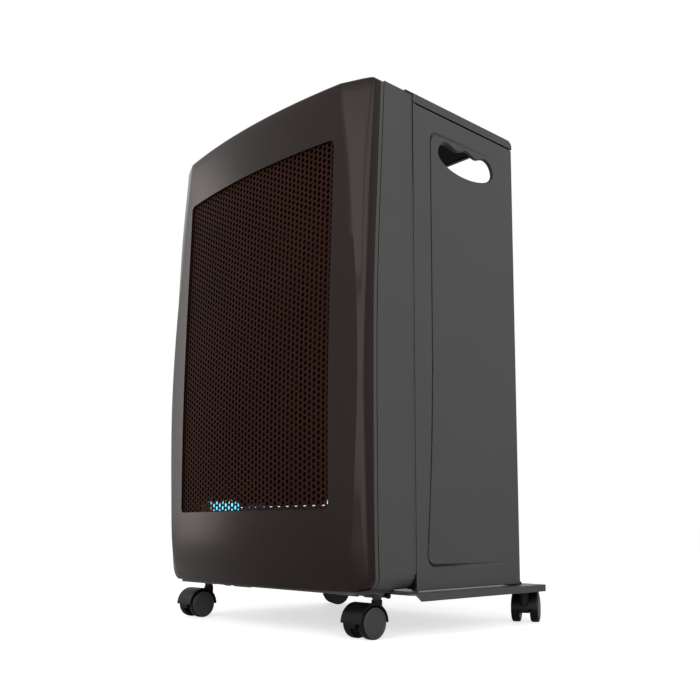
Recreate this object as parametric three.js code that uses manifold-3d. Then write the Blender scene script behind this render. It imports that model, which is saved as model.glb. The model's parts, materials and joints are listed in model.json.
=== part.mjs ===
// Portable gas cabinet heater: a bowed front section with a blue-flame burner behind a
// perforated guard, and a fold-away bottle bay of two hinged wings, a lid and a tray.
//
// Millimetres, +Z up. The front faces -Y and +X is on the right of a viewer who stands
// before it. The origin lies on the floor, at the middle of the overall width and depth.

import * as THREE from 'three';
import { mergeVertices } from 'three/addons/utils/BufferGeometryUtils.js';
import Module from 'manifold-3d';

const wasm = await Module();
wasm.setup();

// ---------------------------------------------------------------- driving dimensions

// Whole object
const HEIGHT = 735; // floor to the top of the lid
const FRONT_REACH = 202.4; // origin to the fullest point of the bowed front
const TRAY_DEPTH = 388.4; // fullest point of the bowed front to the rear edge of the tray
const CABINET_HALF = 224; // centre plane to the outer face of a wing
const SHEET = 1.5; // cabinet sheet steel
const THIN_SHEET = 1.2; // reflector and burner sheet steel
const GAP = 0.3; // clearance between pieces that touch
const PIN_CLEARANCE = 0.2; // radial clearance round pins that turn

// Front section
const SECTION_HALF = 223; // centre plane to the side panels' outer faces
const SECTION_BOTTOM = 60; // floor to the underside of cover and side panels
const SECTION_DEPTH = 120.2; // fullest point of the bow to the wing seam
const BOTTOM_RADIUS = 20; // rounded lower edge of the sides
const TOP_RADIUS = 4.5; // rounded top edge of the front cover
const COVER_WALL = 2;
const BOW_RADIUS = 1150; // plan radius of the bowed face
const FACET_SHARE = 0.55; // flat part of the facet, the rest is the rounded corner
const SEAM_GAP = 1.2; // shadow gap between cover and side panels
const LIP_DEPTH = 8; // joggled lip of the side panels inside the cover

// The cover's outline changes with height. Each station gives the height as a fraction of
// the section, then how far the crease stands in from the side, how far the bow lies
// behind its fullest point, where facet and side plane meet behind it, where the seam lies
// behind it, and the width of the flat band in front of the seam.
const COVER_STATIONS = [
  { at: 0, crease: 26.5, bow: 9.7, knee: 31.5, seam: 53.2, band: 11 },
  { at: 0.06, crease: 18, bow: 2.2, knee: 31.5, seam: 51.2, band: 9 },
  { at: 0.178, crease: 11.5, bow: 0.3, knee: 31.5, seam: 50, band: 7 },
  { at: 0.394, crease: 5.6, bow: 0, knee: 31.5, seam: 49.5, band: 6 },
  { at: 0.58, crease: 10, bow: 2.7, knee: 31.5, seam: 50.9, band: 7 },
  { at: 0.8, crease: 26, bow: 7.7, knee: 34, seam: 58, band: 12 },
  { at: 1, crease: 43, bow: 11.7, knee: 45, seam: 65.2, band: 17 },
];

// Window and guard
const WINDOW_HALF = 171;
const WINDOW_BOTTOM = 162.4;
const WINDOW_DROP = 80.3; // top of the heater down to the window
const WINDOW_RADIUS = 8;
const GUARD_SHEET = 1.2;
const GUARD_MARGIN = 9; // guard sheet behind the window's edge
const HOLE_WIDTH = 38;
const HOLE_HEIGHT = 48;
const HOLE_PITCH = 50; // across, in one row
const ROW_PITCH = 46; // between staggered rows
const HOLE_BORDER = 5; // plain rim left round the hole field
const RETAINER_WIDTH = 8;

// Top deck and controls
const DECK_SHEET = 3;
const WELL_LEFT = 66;
const WELL_RIGHT = 186;
const WELL_FRONT_RECESS = 38.5; // behind the fullest point of the bow
const WELL_LENGTH = 58;
const WELL_DEPTH = 17;
const DECK_TONGUE_HALF = 189.5;
const DECK_TONGUE_RECESS = 36.5;
const KNOB_X = 104;
const BUTTON_X = 160;
const KNOB_RADIUS = 18;
const KNOB_HEIGHT = 14.5;
const KNOB_TRAVEL = 3; // the knob is pressed in for lighting
const SPINDLE_RADIUS = 4;
const BUTTON_RADIUS = 8;
const BUTTON_TRAVEL = 6;
const BUTTON_PROUD = 10;
const VENT_COUNT = 7;
const VENT_WIDTH = 5;
const VENT_LENGTH = 34;
const VENT_PITCH = 30;
const VENT_FIRST_X = -172;

// Firebox
const FIREBOX_BACK_HALF = 150;
const FIREBOX_MOUTH_HALF = 175;
const FIREBOX_DEPTH = 60;
const FIREBOX_BACK_RECESS = 91; // behind the fullest point of the bow
const HOOD_DROP = 70;
const HOOD_KNEE = 18;
const HOOD_LIP = 5.5;
const FOOT_DEPTH = 12;
const RIB_HALF = 28;
const RIB_DEPTH = 5;
const RIB_BOTTOM = 212;
const RIB_DROP = 175; // top of the heater down to the rib
const SLOT_X = -89;
const SLOT_BOTTOM = 300;
const BURNER_HALF = 150;
const BURNER_DEPTH = 34;
const BURNER_HEIGHT = 20;
const BURNER_TOP = 168;
const PORT_COUNT = 13;
const PORT_LENGTH = 13;
const PORT_WIDTH = 20;
const PORT_PITCH = 21;
const TRESTLE_HALF = 119;
const POST_WIDTH = 18;
const VENTURI_RADIUS = 8;
const VENTURI_NECK = 1.5; // narrower where it meets the burner
const VENTURI_LENGTH = 34;
const GAS_PIPE_RADIUS = 3;
const PILOT_PIPE_RADIUS = 2;
const LEAD_RADIUS = 1.4;
const PIPE_INSET = 16; // gas pipes in from the side panels
const LEAD_DROP = 18; // ignition lead below the burner
const PILOT_X = -118;
const INSULATOR_RADIUS = 2.1;
const PILOT_SPACING = 12; // nozzle to electrode and nozzle to thermocouple
const VALVE_WIDTH = 62;
const VALVE_DEPTH = 32;
const VALVE_HEIGHT = 28;

// Rear heat shield and the recessed gas inlet
const SHIELD_SETBACK = 9; // shield in front of the wing seam
const SHIELD_FLANGE = 10;
const INLET_X = 178;
const INLET_DROP = 169; // top of the heater down to the hose nozzle's end
const INLET_WINDOW_HALF = 24;
const INLET_WINDOW_HEIGHT = 84;
const LOUVRE_COUNT = 4;
const LOUVRE_HALF = 62;
const LOUVRE_HEIGHT = 6;
const LOUVRE_PITCH = 34;

// Wings
const WING_MEETING_GAP = 1; // between the wings when both are folded in
const PIVOT_INSET = 4; // pivot axis in from the wing's face and front edge
const WING_BOTTOM = 58;
const WING_TOP_GAP = 1; // shadow line below the lid's skirt
const WING_FLANGE = 11;
const WING_REAR_LIP = 6;
const RECESS_DEPTH = 2.2;
const RECESS_DROP = 41.5; // top of the heater down to the recess
const RECESS_BOTTOM = 87.5;
const RECESS_FRONT_TOP = 35.5; // behind the seam, upper stretch
const RECESS_FRONT_BOTTOM = 22; // behind the seam, lower stretch
const RECESS_STEP_Z = 420; // where the recess's front edge starts to run forward
const RECESS_REAR = 203; // behind the seam, where the recess has faded out
const RECESS_RADIUS = 16;
const GRIP_CENTRE = 115.5; // behind the seam
const GRIP_HALF = 62;
const GRIP_DROP = 49; // top of the heater down to the handle hole
const GRIP_HEIGHT = 40;
const GRIP_SAG = 2.5; // crown of the lower edge
const GRIP_WAVE = 5; // finger waves of the upper edge
const GRIP_LIP = 4; // flange of the grip liner behind the sheet
const GRIP_LINER = 1.6; // wall of the grip liner
const GRIP_INWARD = 8; // liner depth behind the sheet
const PIVOT_RADIUS = 2;
const PIVOT_EAR = 1.5;
const PIVOT_EAR_REACH = 9;
const PIVOT_PIN = 5; // pin inside the wing's flange

// Lid
const LID_SHEET = 1.7;
const LID_SKIRT = 12.4; // lid top to the lower edge of its skirt
const LID_OVERLAP = 14.3; // strip lying on the front section, in front of the seam
const LID_KNUCKLE_RADIUS = 2.6;
const LID_PIN_RADIUS = 1.2;
const LID_CORNER_RADIUS = 10;
const LID_KNUCKLE_HALF = 214;
const LID_GROOVE_CLEARANCE = 1;

// Chassis, tray and its fold rod
const CHASSIS_INSET = 25; // chassis plate in from the side panels
const CHASSIS_PLATE = 3.9;
const CHASSIS_FRONT_RECESS = 30;
const TRAY_HALF = 239;
const TRAY_TOP = 55.5;
const TRAY_SHEET = 2;
const TRAY_RIM = 9.8;
const TRAY_FRONT_LAP = 21; // tray in front of the wing seam
const TRAY_RIM_START = 15; // rim begins this far in front of the wing seam
const TRAY_RIM_CUT = 9; // slanted front end of the rim
const TRAY_CORNER_RADIUS = 12;
const ROD_RADIUS = 2.5;
const ROD_HALF = 195;
const ROD_END_RADIUS = 3.4;
const KNUCKLE_LENGTH = 40;
const KNUCKLE_OFFSET = 120;
const CATCH_LENGTH = 14;
const CATCH_WIDTH = 16;
const CATCH_PAD = 1.5;
const CATCH_STOP = 4.4;

// Casters
const WHEEL_RADIUS = 20.5;
const WHEEL_WIDTH = 12.5;
const CASTER_WIDTH = 40; // over both wheels
const HOOD_RADIUS = 24.6;
const HOOD_WALL = 2.6;
const HOOD_WIDTH = 37;
const WEB_WIDTH = 14;
const TRAIL = 22; // swivel axis to axle
const STEM_RADIUS = 4;
const BOSS_RADIUS = 7;
const AXLE_RADIUS = 3;
const SOCKET_RADIUS = 10;
const SOCKET_FOOT_RADIUS = 6.5;
const FRONT_CASTER_INSET = 32; // swivel axis in from the side panels
const FRONT_CASTER_RECESS = 80.2; // swivel axis behind the fullest point of the bow
const REAR_CASTER_EDGE = 17; // swivel axis in from the tray's side
const REAR_CASTER_INSET = 33.7; // swivel axis in front of the tray's rear edge
const REAR_CASTER_YAW = 28.6; // degrees that the rear casters are turned in at rest

// ---------------------------------------------------------------- places worked out

const FRONT_Y = -FRONT_REACH;
const TRAY_REAR_Y = FRONT_Y + TRAY_DEPTH;
const SEAM_Y = FRONT_Y + SECTION_DEPTH;
const SECTION_TOP = HEIGHT - LID_SHEET - GAP;
const SECTION_HEIGHT = SECTION_TOP - SECTION_BOTTOM;
const WINDOW_TOP = HEIGHT - WINDOW_DROP;
const CHASSIS_HALF = SECTION_HALF - CHASSIS_INSET;
const FRONT_CASTER_X = SECTION_HALF - FRONT_CASTER_INSET;
const REAR_CASTER_X = TRAY_HALF - REAR_CASTER_EDGE;
const GRIP_TOP = HEIGHT - GRIP_DROP;
const GRIP_BOTTOM = GRIP_TOP - GRIP_HEIGHT;
const INLET_BOTTOM = HEIGHT - INLET_DROP;
const SKIRT_BOTTOM = HEIGHT - LID_SKIRT;
const WING_TOP = SKIRT_BOTTOM - WING_TOP_GAP;
const WING_LENGTH = CABINET_HALF - WING_MEETING_GAP / 2;
const WING_REAR_Y = SEAM_Y + WING_LENGTH;
const PIVOT_X = CABINET_HALF - PIVOT_INSET;
const PIVOT_Y = SEAM_Y + PIVOT_INSET;
const CHASSIS_TOP = SECTION_BOTTOM - GAP;
const CHASSIS_BOTTOM = CHASSIS_TOP - CHASSIS_PLATE;
const TRAY_UNDERSIDE = TRAY_TOP - TRAY_SHEET;
const SHIELD_Y = SEAM_Y - SHIELD_SETBACK; // rear face of the heat shield
const FIREBOX_BACK_Y = FRONT_Y + FIREBOX_BACK_RECESS;
const FIREBOX_MOUTH_Y = FIREBOX_BACK_Y - FIREBOX_DEPTH;
const FIREBOX_TOP = WINDOW_TOP + GUARD_MARGIN + GAP;
const FIREBOX_BOTTOM = BURNER_TOP + 14;
const WELL_FRONT_Y = FRONT_Y + WELL_FRONT_RECESS;
const WELL_Y = WELL_FRONT_Y + WELL_LENGTH / 2;
const WELL_FLOOR = SECTION_TOP - WELL_DEPTH;
const LID_PIN_Y = SEAM_Y - LID_OVERLAP - 2;
const LID_PIN_Z = HEIGHT - LID_KNUCKLE_RADIUS;

// ---------------------------------------------------------------- solids from geometry

function solid(geometry) {
  const plain = geometry.clone();
  plain.deleteAttribute('normal');
  plain.deleteAttribute('uv');
  const merged = mergeVertices(plain);
  const mesh = new wasm.Mesh({
    numProp: 3,
    vertProperties: new Float32Array(merged.attributes.position.array),
    triVerts: new Uint32Array(merged.index.array),
  });
  return new wasm.Manifold(mesh);
}

function geometryOf(body) {
  const { vertProperties, triVerts } = body.getMesh();
  const geometry = new THREE.BufferGeometry();
  geometry.setAttribute('position', new THREE.BufferAttribute(vertProperties, 3));
  geometry.setIndex(new THREE.BufferAttribute(triVerts, 1));
  return geometry;
}

const join = (...bodies) => bodies.reduce((whole, next) => whole.add(next));
const cut = (body, ...tools) => tools.reduce((rest, tool) => rest.subtract(tool), body);

function box(x0, x1, y0, y1, z0, z1) {
  const geometry = new THREE.BoxGeometry(x1 - x0, y1 - y0, z1 - z0);
  geometry.translate((x0 + x1) / 2, (y0 + y1) / 2, (z0 + z1) / 2);
  return solid(geometry);
}

const extrusion = (shape, length, curveSegments = 4) =>
  new THREE.ExtrudeGeometry(shape, { depth: length, bevelEnabled: false, curveSegments });

// An outline drawn in X, Y and extruded from z0 to z1.
function prismZ(shape, z0, z1, curveSegments) {
  return solid(extrusion(shape, z1 - z0, curveSegments).translate(0, 0, z0));
}

// An outline drawn in Y, Z and extruded from x0 to x1.
function prismX(shape, x0, x1, curveSegments) {
  const turn = new THREE.Matrix4().makeBasis(
    new THREE.Vector3(0, 1, 0),
    new THREE.Vector3(0, 0, 1),
    new THREE.Vector3(1, 0, 0),
  );
  return solid(extrusion(shape, x1 - x0, curveSegments).applyMatrix4(turn).translate(x0, 0, 0));
}

// An outline drawn in X, Z and extruded from y0 to y1.
function prismY(shape, y0, y1, curveSegments) {
  const geometry = extrusion(shape, y1 - y0, curveSegments).rotateX(Math.PI / 2);
  return solid(geometry.translate(0, y1, 0));
}

const AXIS_TURN = {
  x: (geometry) => geometry.rotateZ(-Math.PI / 2),
  y: (geometry) => geometry,
  z: (geometry) => geometry.rotateX(Math.PI / 2),
};

// A cylinder or cone whose middle lies at centre, along one axis.
function cylinder(axis, centre, radius, length, sides = 16, farRadius = radius) {
  const geometry = new THREE.CylinderGeometry(farRadius, radius, length, sides);
  return solid(AXIS_TURN[axis](geometry).translate(...centre));
}

// A turned solid about the Z axis; the profile is a list of [radius, height].
function turned(profile, sides = 24) {
  const points = profile.map(([radius, height]) => new THREE.Vector2(radius, height));
  return solid(new THREE.LatheGeometry(points, sides).rotateX(Math.PI / 2));
}

function polygon(points) {
  return new THREE.Shape(points.map(([u, v]) => new THREE.Vector2(u, v)));
}

function roundedRectangle(u0, u1, v0, v1, radius, Type = THREE.Shape) {
  const outline = new Type();
  outline.moveTo(u0 + radius, v0);
  outline.lineTo(u1 - radius, v0);
  outline.absarc(u1 - radius, v0 + radius, radius, -Math.PI / 2, 0);
  outline.lineTo(u1, v1 - radius);
  outline.absarc(u1 - radius, v1 - radius, radius, 0, Math.PI / 2);
  outline.lineTo(u0 + radius, v1);
  outline.absarc(u0 + radius, v1 - radius, radius, Math.PI / 2, Math.PI);
  outline.lineTo(u0, v0 + radius);
  outline.absarc(u0 + radius, v0 + radius, radius, Math.PI, Math.PI * 1.5);
  return outline;
}

// A closed body through rings of equally many points, listed anticlockwise from above.
function loft(rings) {
  const count = rings[0].length;
  const positions = rings.flat().flatMap((point) => [point.x, point.y, point.z]);
  const index = [];
  for (let ring = 0; ring + 1 < rings.length; ring += 1) {
    for (let i = 0; i < count; i += 1) {
      const a = ring * count + i;
      const b = ring * count + ((i + 1) % count);
      index.push(a, b, b + count, a, b + count, a + count);
    }
  }
  const capOf = (ring) =>
    THREE.ShapeUtils.triangulateShape(ring.map((point) => new THREE.Vector2(point.x, point.y)), []);
  const last = (rings.length - 1) * count;
  capOf(rings[0]).forEach(([a, b, c]) => index.push(a, c, b));
  capOf(rings.at(-1)).forEach(([a, b, c]) => index.push(last + a, last + b, last + c));
  const geometry = new THREE.BufferGeometry();
  geometry.setAttribute('position', new THREE.Float32BufferAttribute(positions, 3));
  geometry.setIndex(index);
  return solid(geometry);
}

// Visits its points at even steps, so that an extrusion has a section at each of them.
class Route extends THREE.Curve {
  constructor(points) {
    super();
    this.points = points;
  }

  getPoint(t, target = new THREE.Vector3()) {
    const place = t * (this.points.length - 1);
    const i = Math.min(Math.floor(place), this.points.length - 2);
    return target.lerpVectors(this.points[i], this.points[i + 1], place - i);
  }

  getUtoTmapping(u) {
    return u;
  }
}

// A pipe through the given corners, with a bend of the given radius at each.
function pipe(corners, radius, bendRadius, sides = 8) {
  const nodes = corners.map((corner) => new THREE.Vector3(...corner));
  const centres = [nodes[0]];
  for (let i = 1; i + 1 < nodes.length; i += 1) {
    const into = nodes[i].clone().sub(nodes[i - 1]).normalize();
    const out = nodes[i + 1].clone().sub(nodes[i]).normalize();
    const reach = bendRadius * Math.tan(into.angleTo(out) / 2);
    const bend = new THREE.QuadraticBezierCurve3(
      nodes[i].clone().addScaledVector(into, -reach),
      nodes[i],
      nodes[i].clone().addScaledVector(out, reach),
    );
    centres.push(...bend.getPoints(3));
  }
  centres.push(nodes.at(-1));
  const section = [];
  for (let i = 0; i < sides; i += 1) {
    const angle = (i / sides) * Math.PI * 2;
    section.push([radius * Math.cos(angle), radius * Math.sin(angle)]);
  }
  return solid(new THREE.ExtrudeGeometry(polygon(section), {
    steps: centres.length - 1,
    extrudePath: new Route(centres),
    bevelEnabled: false,
  }));
}

const mirrored = (body) => body.mirror([1, 0, 0]);

// ---------------------------------------------------------------- materials

const paint = (color, roughness = 0.45, metalness = 0.2) =>
  new THREE.MeshStandardMaterial({ color, roughness, metalness });

const MATERIAL = {
  cover: paint(0x36322f, 0.4),
  cabinet: paint(0x4b4b4b, 0.45),
  guard: paint(0x241d19, 0.5),
  chassis: paint(0x3c3c3c, 0.5),
  plastic: paint(0x1d1d1d, 0.55, 0),
  wheel: paint(0x353535, 0.5, 0),
  grip: paint(0x202020, 0.5, 0),
  reflector: paint(0x5e463c, 0.35, 0.7),
  steel: paint(0x9a9a98, 0.35, 0.9),
  burner: paint(0x6d6a66, 0.45, 0.8),
  brass: paint(0xb08a45, 0.35, 0.9),
  ceramic: paint(0xe4ded2, 0.6, 0),
};

const model = new THREE.Group();

function addPart(name, body, material, parent = model) {
  const mesh = new THREE.Mesh(geometryOf(body), material);
  mesh.name = name;
  parent.add(mesh);
}

// ---------------------------------------------------------------- front cover

// A smooth curve through the stations' values of one key.
function stationValue(key, height) {
  const at = (height - SECTION_BOTTOM) / SECTION_HEIGHT;
  const last = COVER_STATIONS.length - 2;
  const found = COVER_STATIONS.findIndex((station) => station.at > at) - 1;
  const i = found < 0 ? last : found;
  const slopeAt = (k) => {
    const before = COVER_STATIONS[Math.max(k - 1, 0)];
    const after = COVER_STATIONS[Math.min(k + 1, last + 1)];
    return (after[key] - before[key]) / (after.at - before.at);
  };
  const span = COVER_STATIONS[i + 1].at - COVER_STATIONS[i].at;
  const t = (at - COVER_STATIONS[i].at) / span;
  const start = COVER_STATIONS[i][key];
  const end = COVER_STATIONS[i + 1][key];
  return (
    (2 * t ** 3 - 3 * t ** 2 + 1) * start +
    (t ** 3 - 2 * t ** 2 + t) * span * slopeAt(i) +
    (3 * t ** 2 - 2 * t ** 3) * end +
    (t ** 3 - t ** 2) * span * slopeAt(i + 1)
  );
}

const seamY = (height) => FRONT_Y + stationValue('seam', height);

// Plan depth of the bowed face at one point of the front.
function bowY(x, height) {
  const sagitta = BOW_RADIUS - Math.sqrt(BOW_RADIUS ** 2 - x ** 2);
  return FRONT_Y + stationValue('bow', height) + sagitta;
}

// How far a rounded edge of the given radius has drawn in at a distance from the edge.
function edgeDraw(radius, distance) {
  const left = Math.max(radius - distance, 0);
  return radius - Math.sqrt(radius ** 2 - left ** 2);
}

// Half the cover's plan outline at one height, from the middle to the seam.
function coverHalf(height) {
  const side = SECTION_HALF - edgeDraw(BOTTOM_RADIUS, height - SECTION_BOTTOM);
  const creaseX = Math.min(SECTION_HALF - stationValue('crease', height), side - 1);
  const points = [];
  const arcSteps = 5;
  for (let i = 0; i <= arcSteps; i += 1) {
    const x = (creaseX * i) / arcSteps;
    points.push(new THREE.Vector2(x, bowY(x, height)));
  }
  const crease = points.at(-1);
  const knee = new THREE.Vector2(side, FRONT_Y + stationValue('knee', height));
  const band = new THREE.Vector2(side, seamY(height) - stationValue('band', height));
  const flatEnd = crease.clone().lerp(knee, FACET_SHARE);
  points.push(...new THREE.QuadraticBezierCurve(flatEnd, knee, band).getPoints(3));
  points.push(new THREE.Vector2(side, seamY(height)));
  return points;
}

// The whole plan outline drawn in by a distance and closed across the back.
function coverRing(height, inset, rearReach) {
  const half = coverHalf(height);
  const left = half.slice(1).map((point) => new THREE.Vector2(-point.x, point.y));
  const line = [...left.reverse(), ...half];
  const normals = line.map((point, i) => {
    const along = line[Math.min(i + 1, line.length - 1)].clone().sub(line[Math.max(i - 1, 0)]);
    return new THREE.Vector2(-along.y, along.x).normalize();
  });
  const drawn = line.map((point, i) => point.clone().addScaledVector(normals[i], inset));
  drawn[0].y = line[0].y + rearReach;
  drawn[drawn.length - 1].y = line[0].y + rearReach;
  return drawn.map((point) => new THREE.Vector3(point.x, point.y, height));
}

function buildFrontCover() {
  const shares = [0.065, 0.12, 0.178, 0.28, 0.394, 0.5, 0.6, 0.7, 0.8, 0.9];
  const middle = shares.map((share) => SECTION_BOTTOM + share * SECTION_HEIGHT);
  const heights = [
    ...[0, 0.1, 0.3, 0.6, 1].map((share) => SECTION_BOTTOM + share * BOTTOM_RADIUS),
    ...middle,
    ...[1, 0.45, 0.13, 0].map((share) => SECTION_TOP - share * TOP_RADIUS),
  ];
  const outer = loft(
    heights.map((height) => coverRing(height, edgeDraw(TOP_RADIUS, SECTION_TOP - height), 0)),
  );
  const innerHeights = [
    SECTION_BOTTOM + COVER_WALL,
    ...[0.3, 0.6, 0.75, 1].map((share) => SECTION_BOTTOM + share * BOTTOM_RADIUS),
    ...middle.filter((height, i) => i % 2 === 1),
    SECTION_TOP - TOP_RADIUS,
    SECTION_TOP - COVER_WALL,
  ];
  const inner = loft(
    innerHeights.map((height) => {
      const draw = edgeDraw(TOP_RADIUS, SECTION_TOP - height);
      return coverRing(height, COVER_WALL + draw, SECTION_DEPTH);
    }),
  );
  const window = roundedRectangle(
    -WINDOW_HALF, WINDOW_HALF, WINDOW_BOTTOM, WINDOW_TOP, WINDOW_RADIUS,
  );
  const deckHole = box(
    -DECK_TONGUE_HALF - GAP, DECK_TONGUE_HALF + GAP,
    FRONT_Y + DECK_TONGUE_RECESS - GAP, SEAM_Y,
    SECTION_TOP - SHEET * 4, SECTION_TOP + 1,
  );
  const floorHole = box(
    -CHASSIS_HALF + 20, CHASSIS_HALF - 20,
    FRONT_Y + CHASSIS_FRONT_RECESS + 14, SEAM_Y,
    SECTION_BOTTOM - 1, SECTION_BOTTOM + COVER_WALL * 2,
  );
  return cut(outer, inner, prismY(window, FRONT_Y - 10, FRONT_Y + 34), deckHole, floorHole);
}

addPart('front_cover', buildFrontCover(), MATERIAL.cover);

// ---------------------------------------------------------------- guard and retainer

// A sheet bowed like the cover, its front face the given distance behind the bowed face.
function bowedSheet(half, bottom, top, behind, thickness) {
  const columns = 10;
  const rows = 8;
  const rings = [];
  for (let row = 0; row <= rows; row += 1) {
    const height = THREE.MathUtils.lerp(bottom, top, row / rows);
    const front = [];
    for (let column = 0; column <= columns; column += 1) {
      const x = THREE.MathUtils.lerp(-half, half, column / columns);
      front.push(new THREE.Vector3(x, bowY(x, height) + behind, height));
    }
    const back = front.map((point) => point.clone().setY(point.y + thickness)).reverse();
    rings.push([...front, ...back]);
  }
  return loft(rings);
}

const GUARD_BEHIND = COVER_WALL + 3 * GAP; // bowed face to the guard's face
const GUARD_HALF = WINDOW_HALF + GUARD_MARGIN;
const GUARD_BOTTOM = WINDOW_BOTTOM - GUARD_MARGIN;
const GUARD_TOP = WINDOW_TOP + GUARD_MARGIN;

function buildGuard() {
  const sheet = bowedSheet(GUARD_HALF, GUARD_BOTTOM, GUARD_TOP, GUARD_BEHIND, GUARD_SHEET);
  const fieldHalf = WINDOW_HALF - HOLE_BORDER - HOLE_WIDTH / 2;
  const fieldHeight = WINDOW_TOP - WINDOW_BOTTOM - 2 * HOLE_BORDER - HOLE_HEIGHT;
  const rows = Math.floor(fieldHeight / ROW_PITCH) + 1;
  const middle = (WINDOW_TOP + WINDOW_BOTTOM) / 2;
  const holes = [];
  for (let row = 0; row < rows; row += 1) {
    const z = middle + (row - (rows - 1) / 2) * ROW_PITCH;
    const shift = row % 2 ? HOLE_PITCH / 2 : 0;
    const side = Math.floor((fieldHalf - shift) / HOLE_PITCH);
    const first = shift ? -side - 1 : -side;
    for (let column = first; column <= side; column += 1) {
      holes.push(guardHole(column * HOLE_PITCH + shift, z));
    }
  }
  return cut(sheet, wasm.Manifold.compose(holes));
}

// One punch of the guard's staggered pattern: an upright hexagon.
function guardHole(x, z) {
  const halfWidth = HOLE_WIDTH / 2;
  const shoulder = HOLE_HEIGHT / 4;
  const outline = polygon([
    [x, z - HOLE_HEIGHT / 2], [x + halfWidth, z - shoulder], [x + halfWidth, z + shoulder],
    [x, z + HOLE_HEIGHT / 2], [x - halfWidth, z + shoulder], [x - halfWidth, z - shoulder],
  ]);
  return prismY(outline, FRONT_Y - 10, FRONT_Y + 60);
}

function buildRetainer() {
  const behind = GUARD_BEHIND + GUARD_SHEET + GAP;
  const sheet = bowedSheet(GUARD_HALF, GUARD_BOTTOM, GUARD_TOP, behind, SHEET);
  const inside = box(
    -GUARD_HALF + RETAINER_WIDTH, GUARD_HALF - RETAINER_WIDTH, FRONT_Y - 10, FRONT_Y + 60,
    GUARD_BOTTOM + RETAINER_WIDTH, GUARD_TOP - RETAINER_WIDTH,
  );
  return cut(sheet, inside);
}

addPart('guard_mesh', buildGuard(), MATERIAL.guard);
addPart('guard_retainer', buildRetainer(), MATERIAL.steel);

// ---------------------------------------------------------------- side panels

// Front boundary of the side panels: everything in front of the seam.
function beforeSeam(offset) {
  const steps = 10;
  const low = SECTION_BOTTOM - 1;
  const high = SECTION_TOP + 1;
  const points = [[FRONT_Y - 10, low], [FRONT_Y - 10, high]];
  for (let i = 0; i <= steps; i += 1) {
    const height = THREE.MathUtils.lerp(SECTION_TOP, SECTION_BOTTOM, i / steps);
    const z = i === 0 ? high : i === steps ? low : height;
    points.push([seamY(height) + offset, z]);
  }
  return prismX(polygon(points.reverse()), SECTION_HALF - 60, SECTION_HALF + 5);
}

// A side panel's section: the flat side, the rounded lower edge and the bottom flange.
function panelSection(outerInset, innerInset) {
  const ring = (inset) => {
    const radius = BOTTOM_RADIUS - inset;
    const centre = [SECTION_HALF - BOTTOM_RADIUS, SECTION_BOTTOM + BOTTOM_RADIUS];
    const arc = [];
    for (let i = 0; i <= 5; i += 1) {
      const angle = -(Math.PI / 10) * i;
      arc.push([centre[0] + radius * Math.cos(angle), centre[1] + radius * Math.sin(angle)]);
    }
    return [[SECTION_HALF - inset, SECTION_TOP], ...arc, [SECTION_HALF - 40, SECTION_BOTTOM + inset]];
  };
  return polygon([...ring(outerInset), ...ring(innerInset).reverse()]);
}

function buildSidePanel() {
  const rear = SEAM_Y - GAP;
  const skin = cut(
    prismY(panelSection(0, SHEET), FRONT_Y + 40, rear),
    beforeSeam(SEAM_GAP),
  );
  const lipOuter = COVER_WALL + GAP;
  const lip = prismY(panelSection(lipOuter, lipOuter + SHEET), FRONT_Y + 36, FRONT_Y + 90);
  const strap = prismY(panelSection(SHEET / 2, lipOuter + SHEET), FRONT_Y + 36, FRONT_Y + 90);
  const aboveLip = box(
    0, SECTION_HALF, FRONT_Y, SEAM_Y, SECTION_TOP - 2 * TOP_RADIUS, SECTION_TOP + 5,
  );
  const lipBand = cut(
    lip.intersect(beforeSeam(SEAM_GAP + 3)), beforeSeam(-LIP_DEPTH), aboveLip,
  );
  const strapBand = cut(strap.intersect(beforeSeam(SEAM_GAP + 3)), beforeSeam(SEAM_GAP));
  const rearFlange = box(
    SECTION_HALF - SHIELD_FLANGE, SECTION_HALF - SHEET / 2, rear - SHEET, rear,
    SECTION_BOTTOM + BOTTOM_RADIUS, WING_TOP - 14,
  );
  const lidClearance = box(
    SECTION_HALF - 50, SECTION_HALF - SHEET - 0.5, LID_PIN_Y - 4, rear + 1,
    SECTION_TOP - DECK_SHEET - GAP, SECTION_TOP + 1,
  );
  return cut(join(skin, lipBand, strapBand, rearFlange), lidClearance);
}

const sidePanel = buildSidePanel();
addPart('right_side_panel', sidePanel, MATERIAL.cabinet);
addPart('left_side_panel', mirrored(sidePanel), MATERIAL.cabinet);

// ---------------------------------------------------------------- top deck

const DECK_HALF = SECTION_HALF - SHEET - COVER_WALL - GAP * 2;

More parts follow.
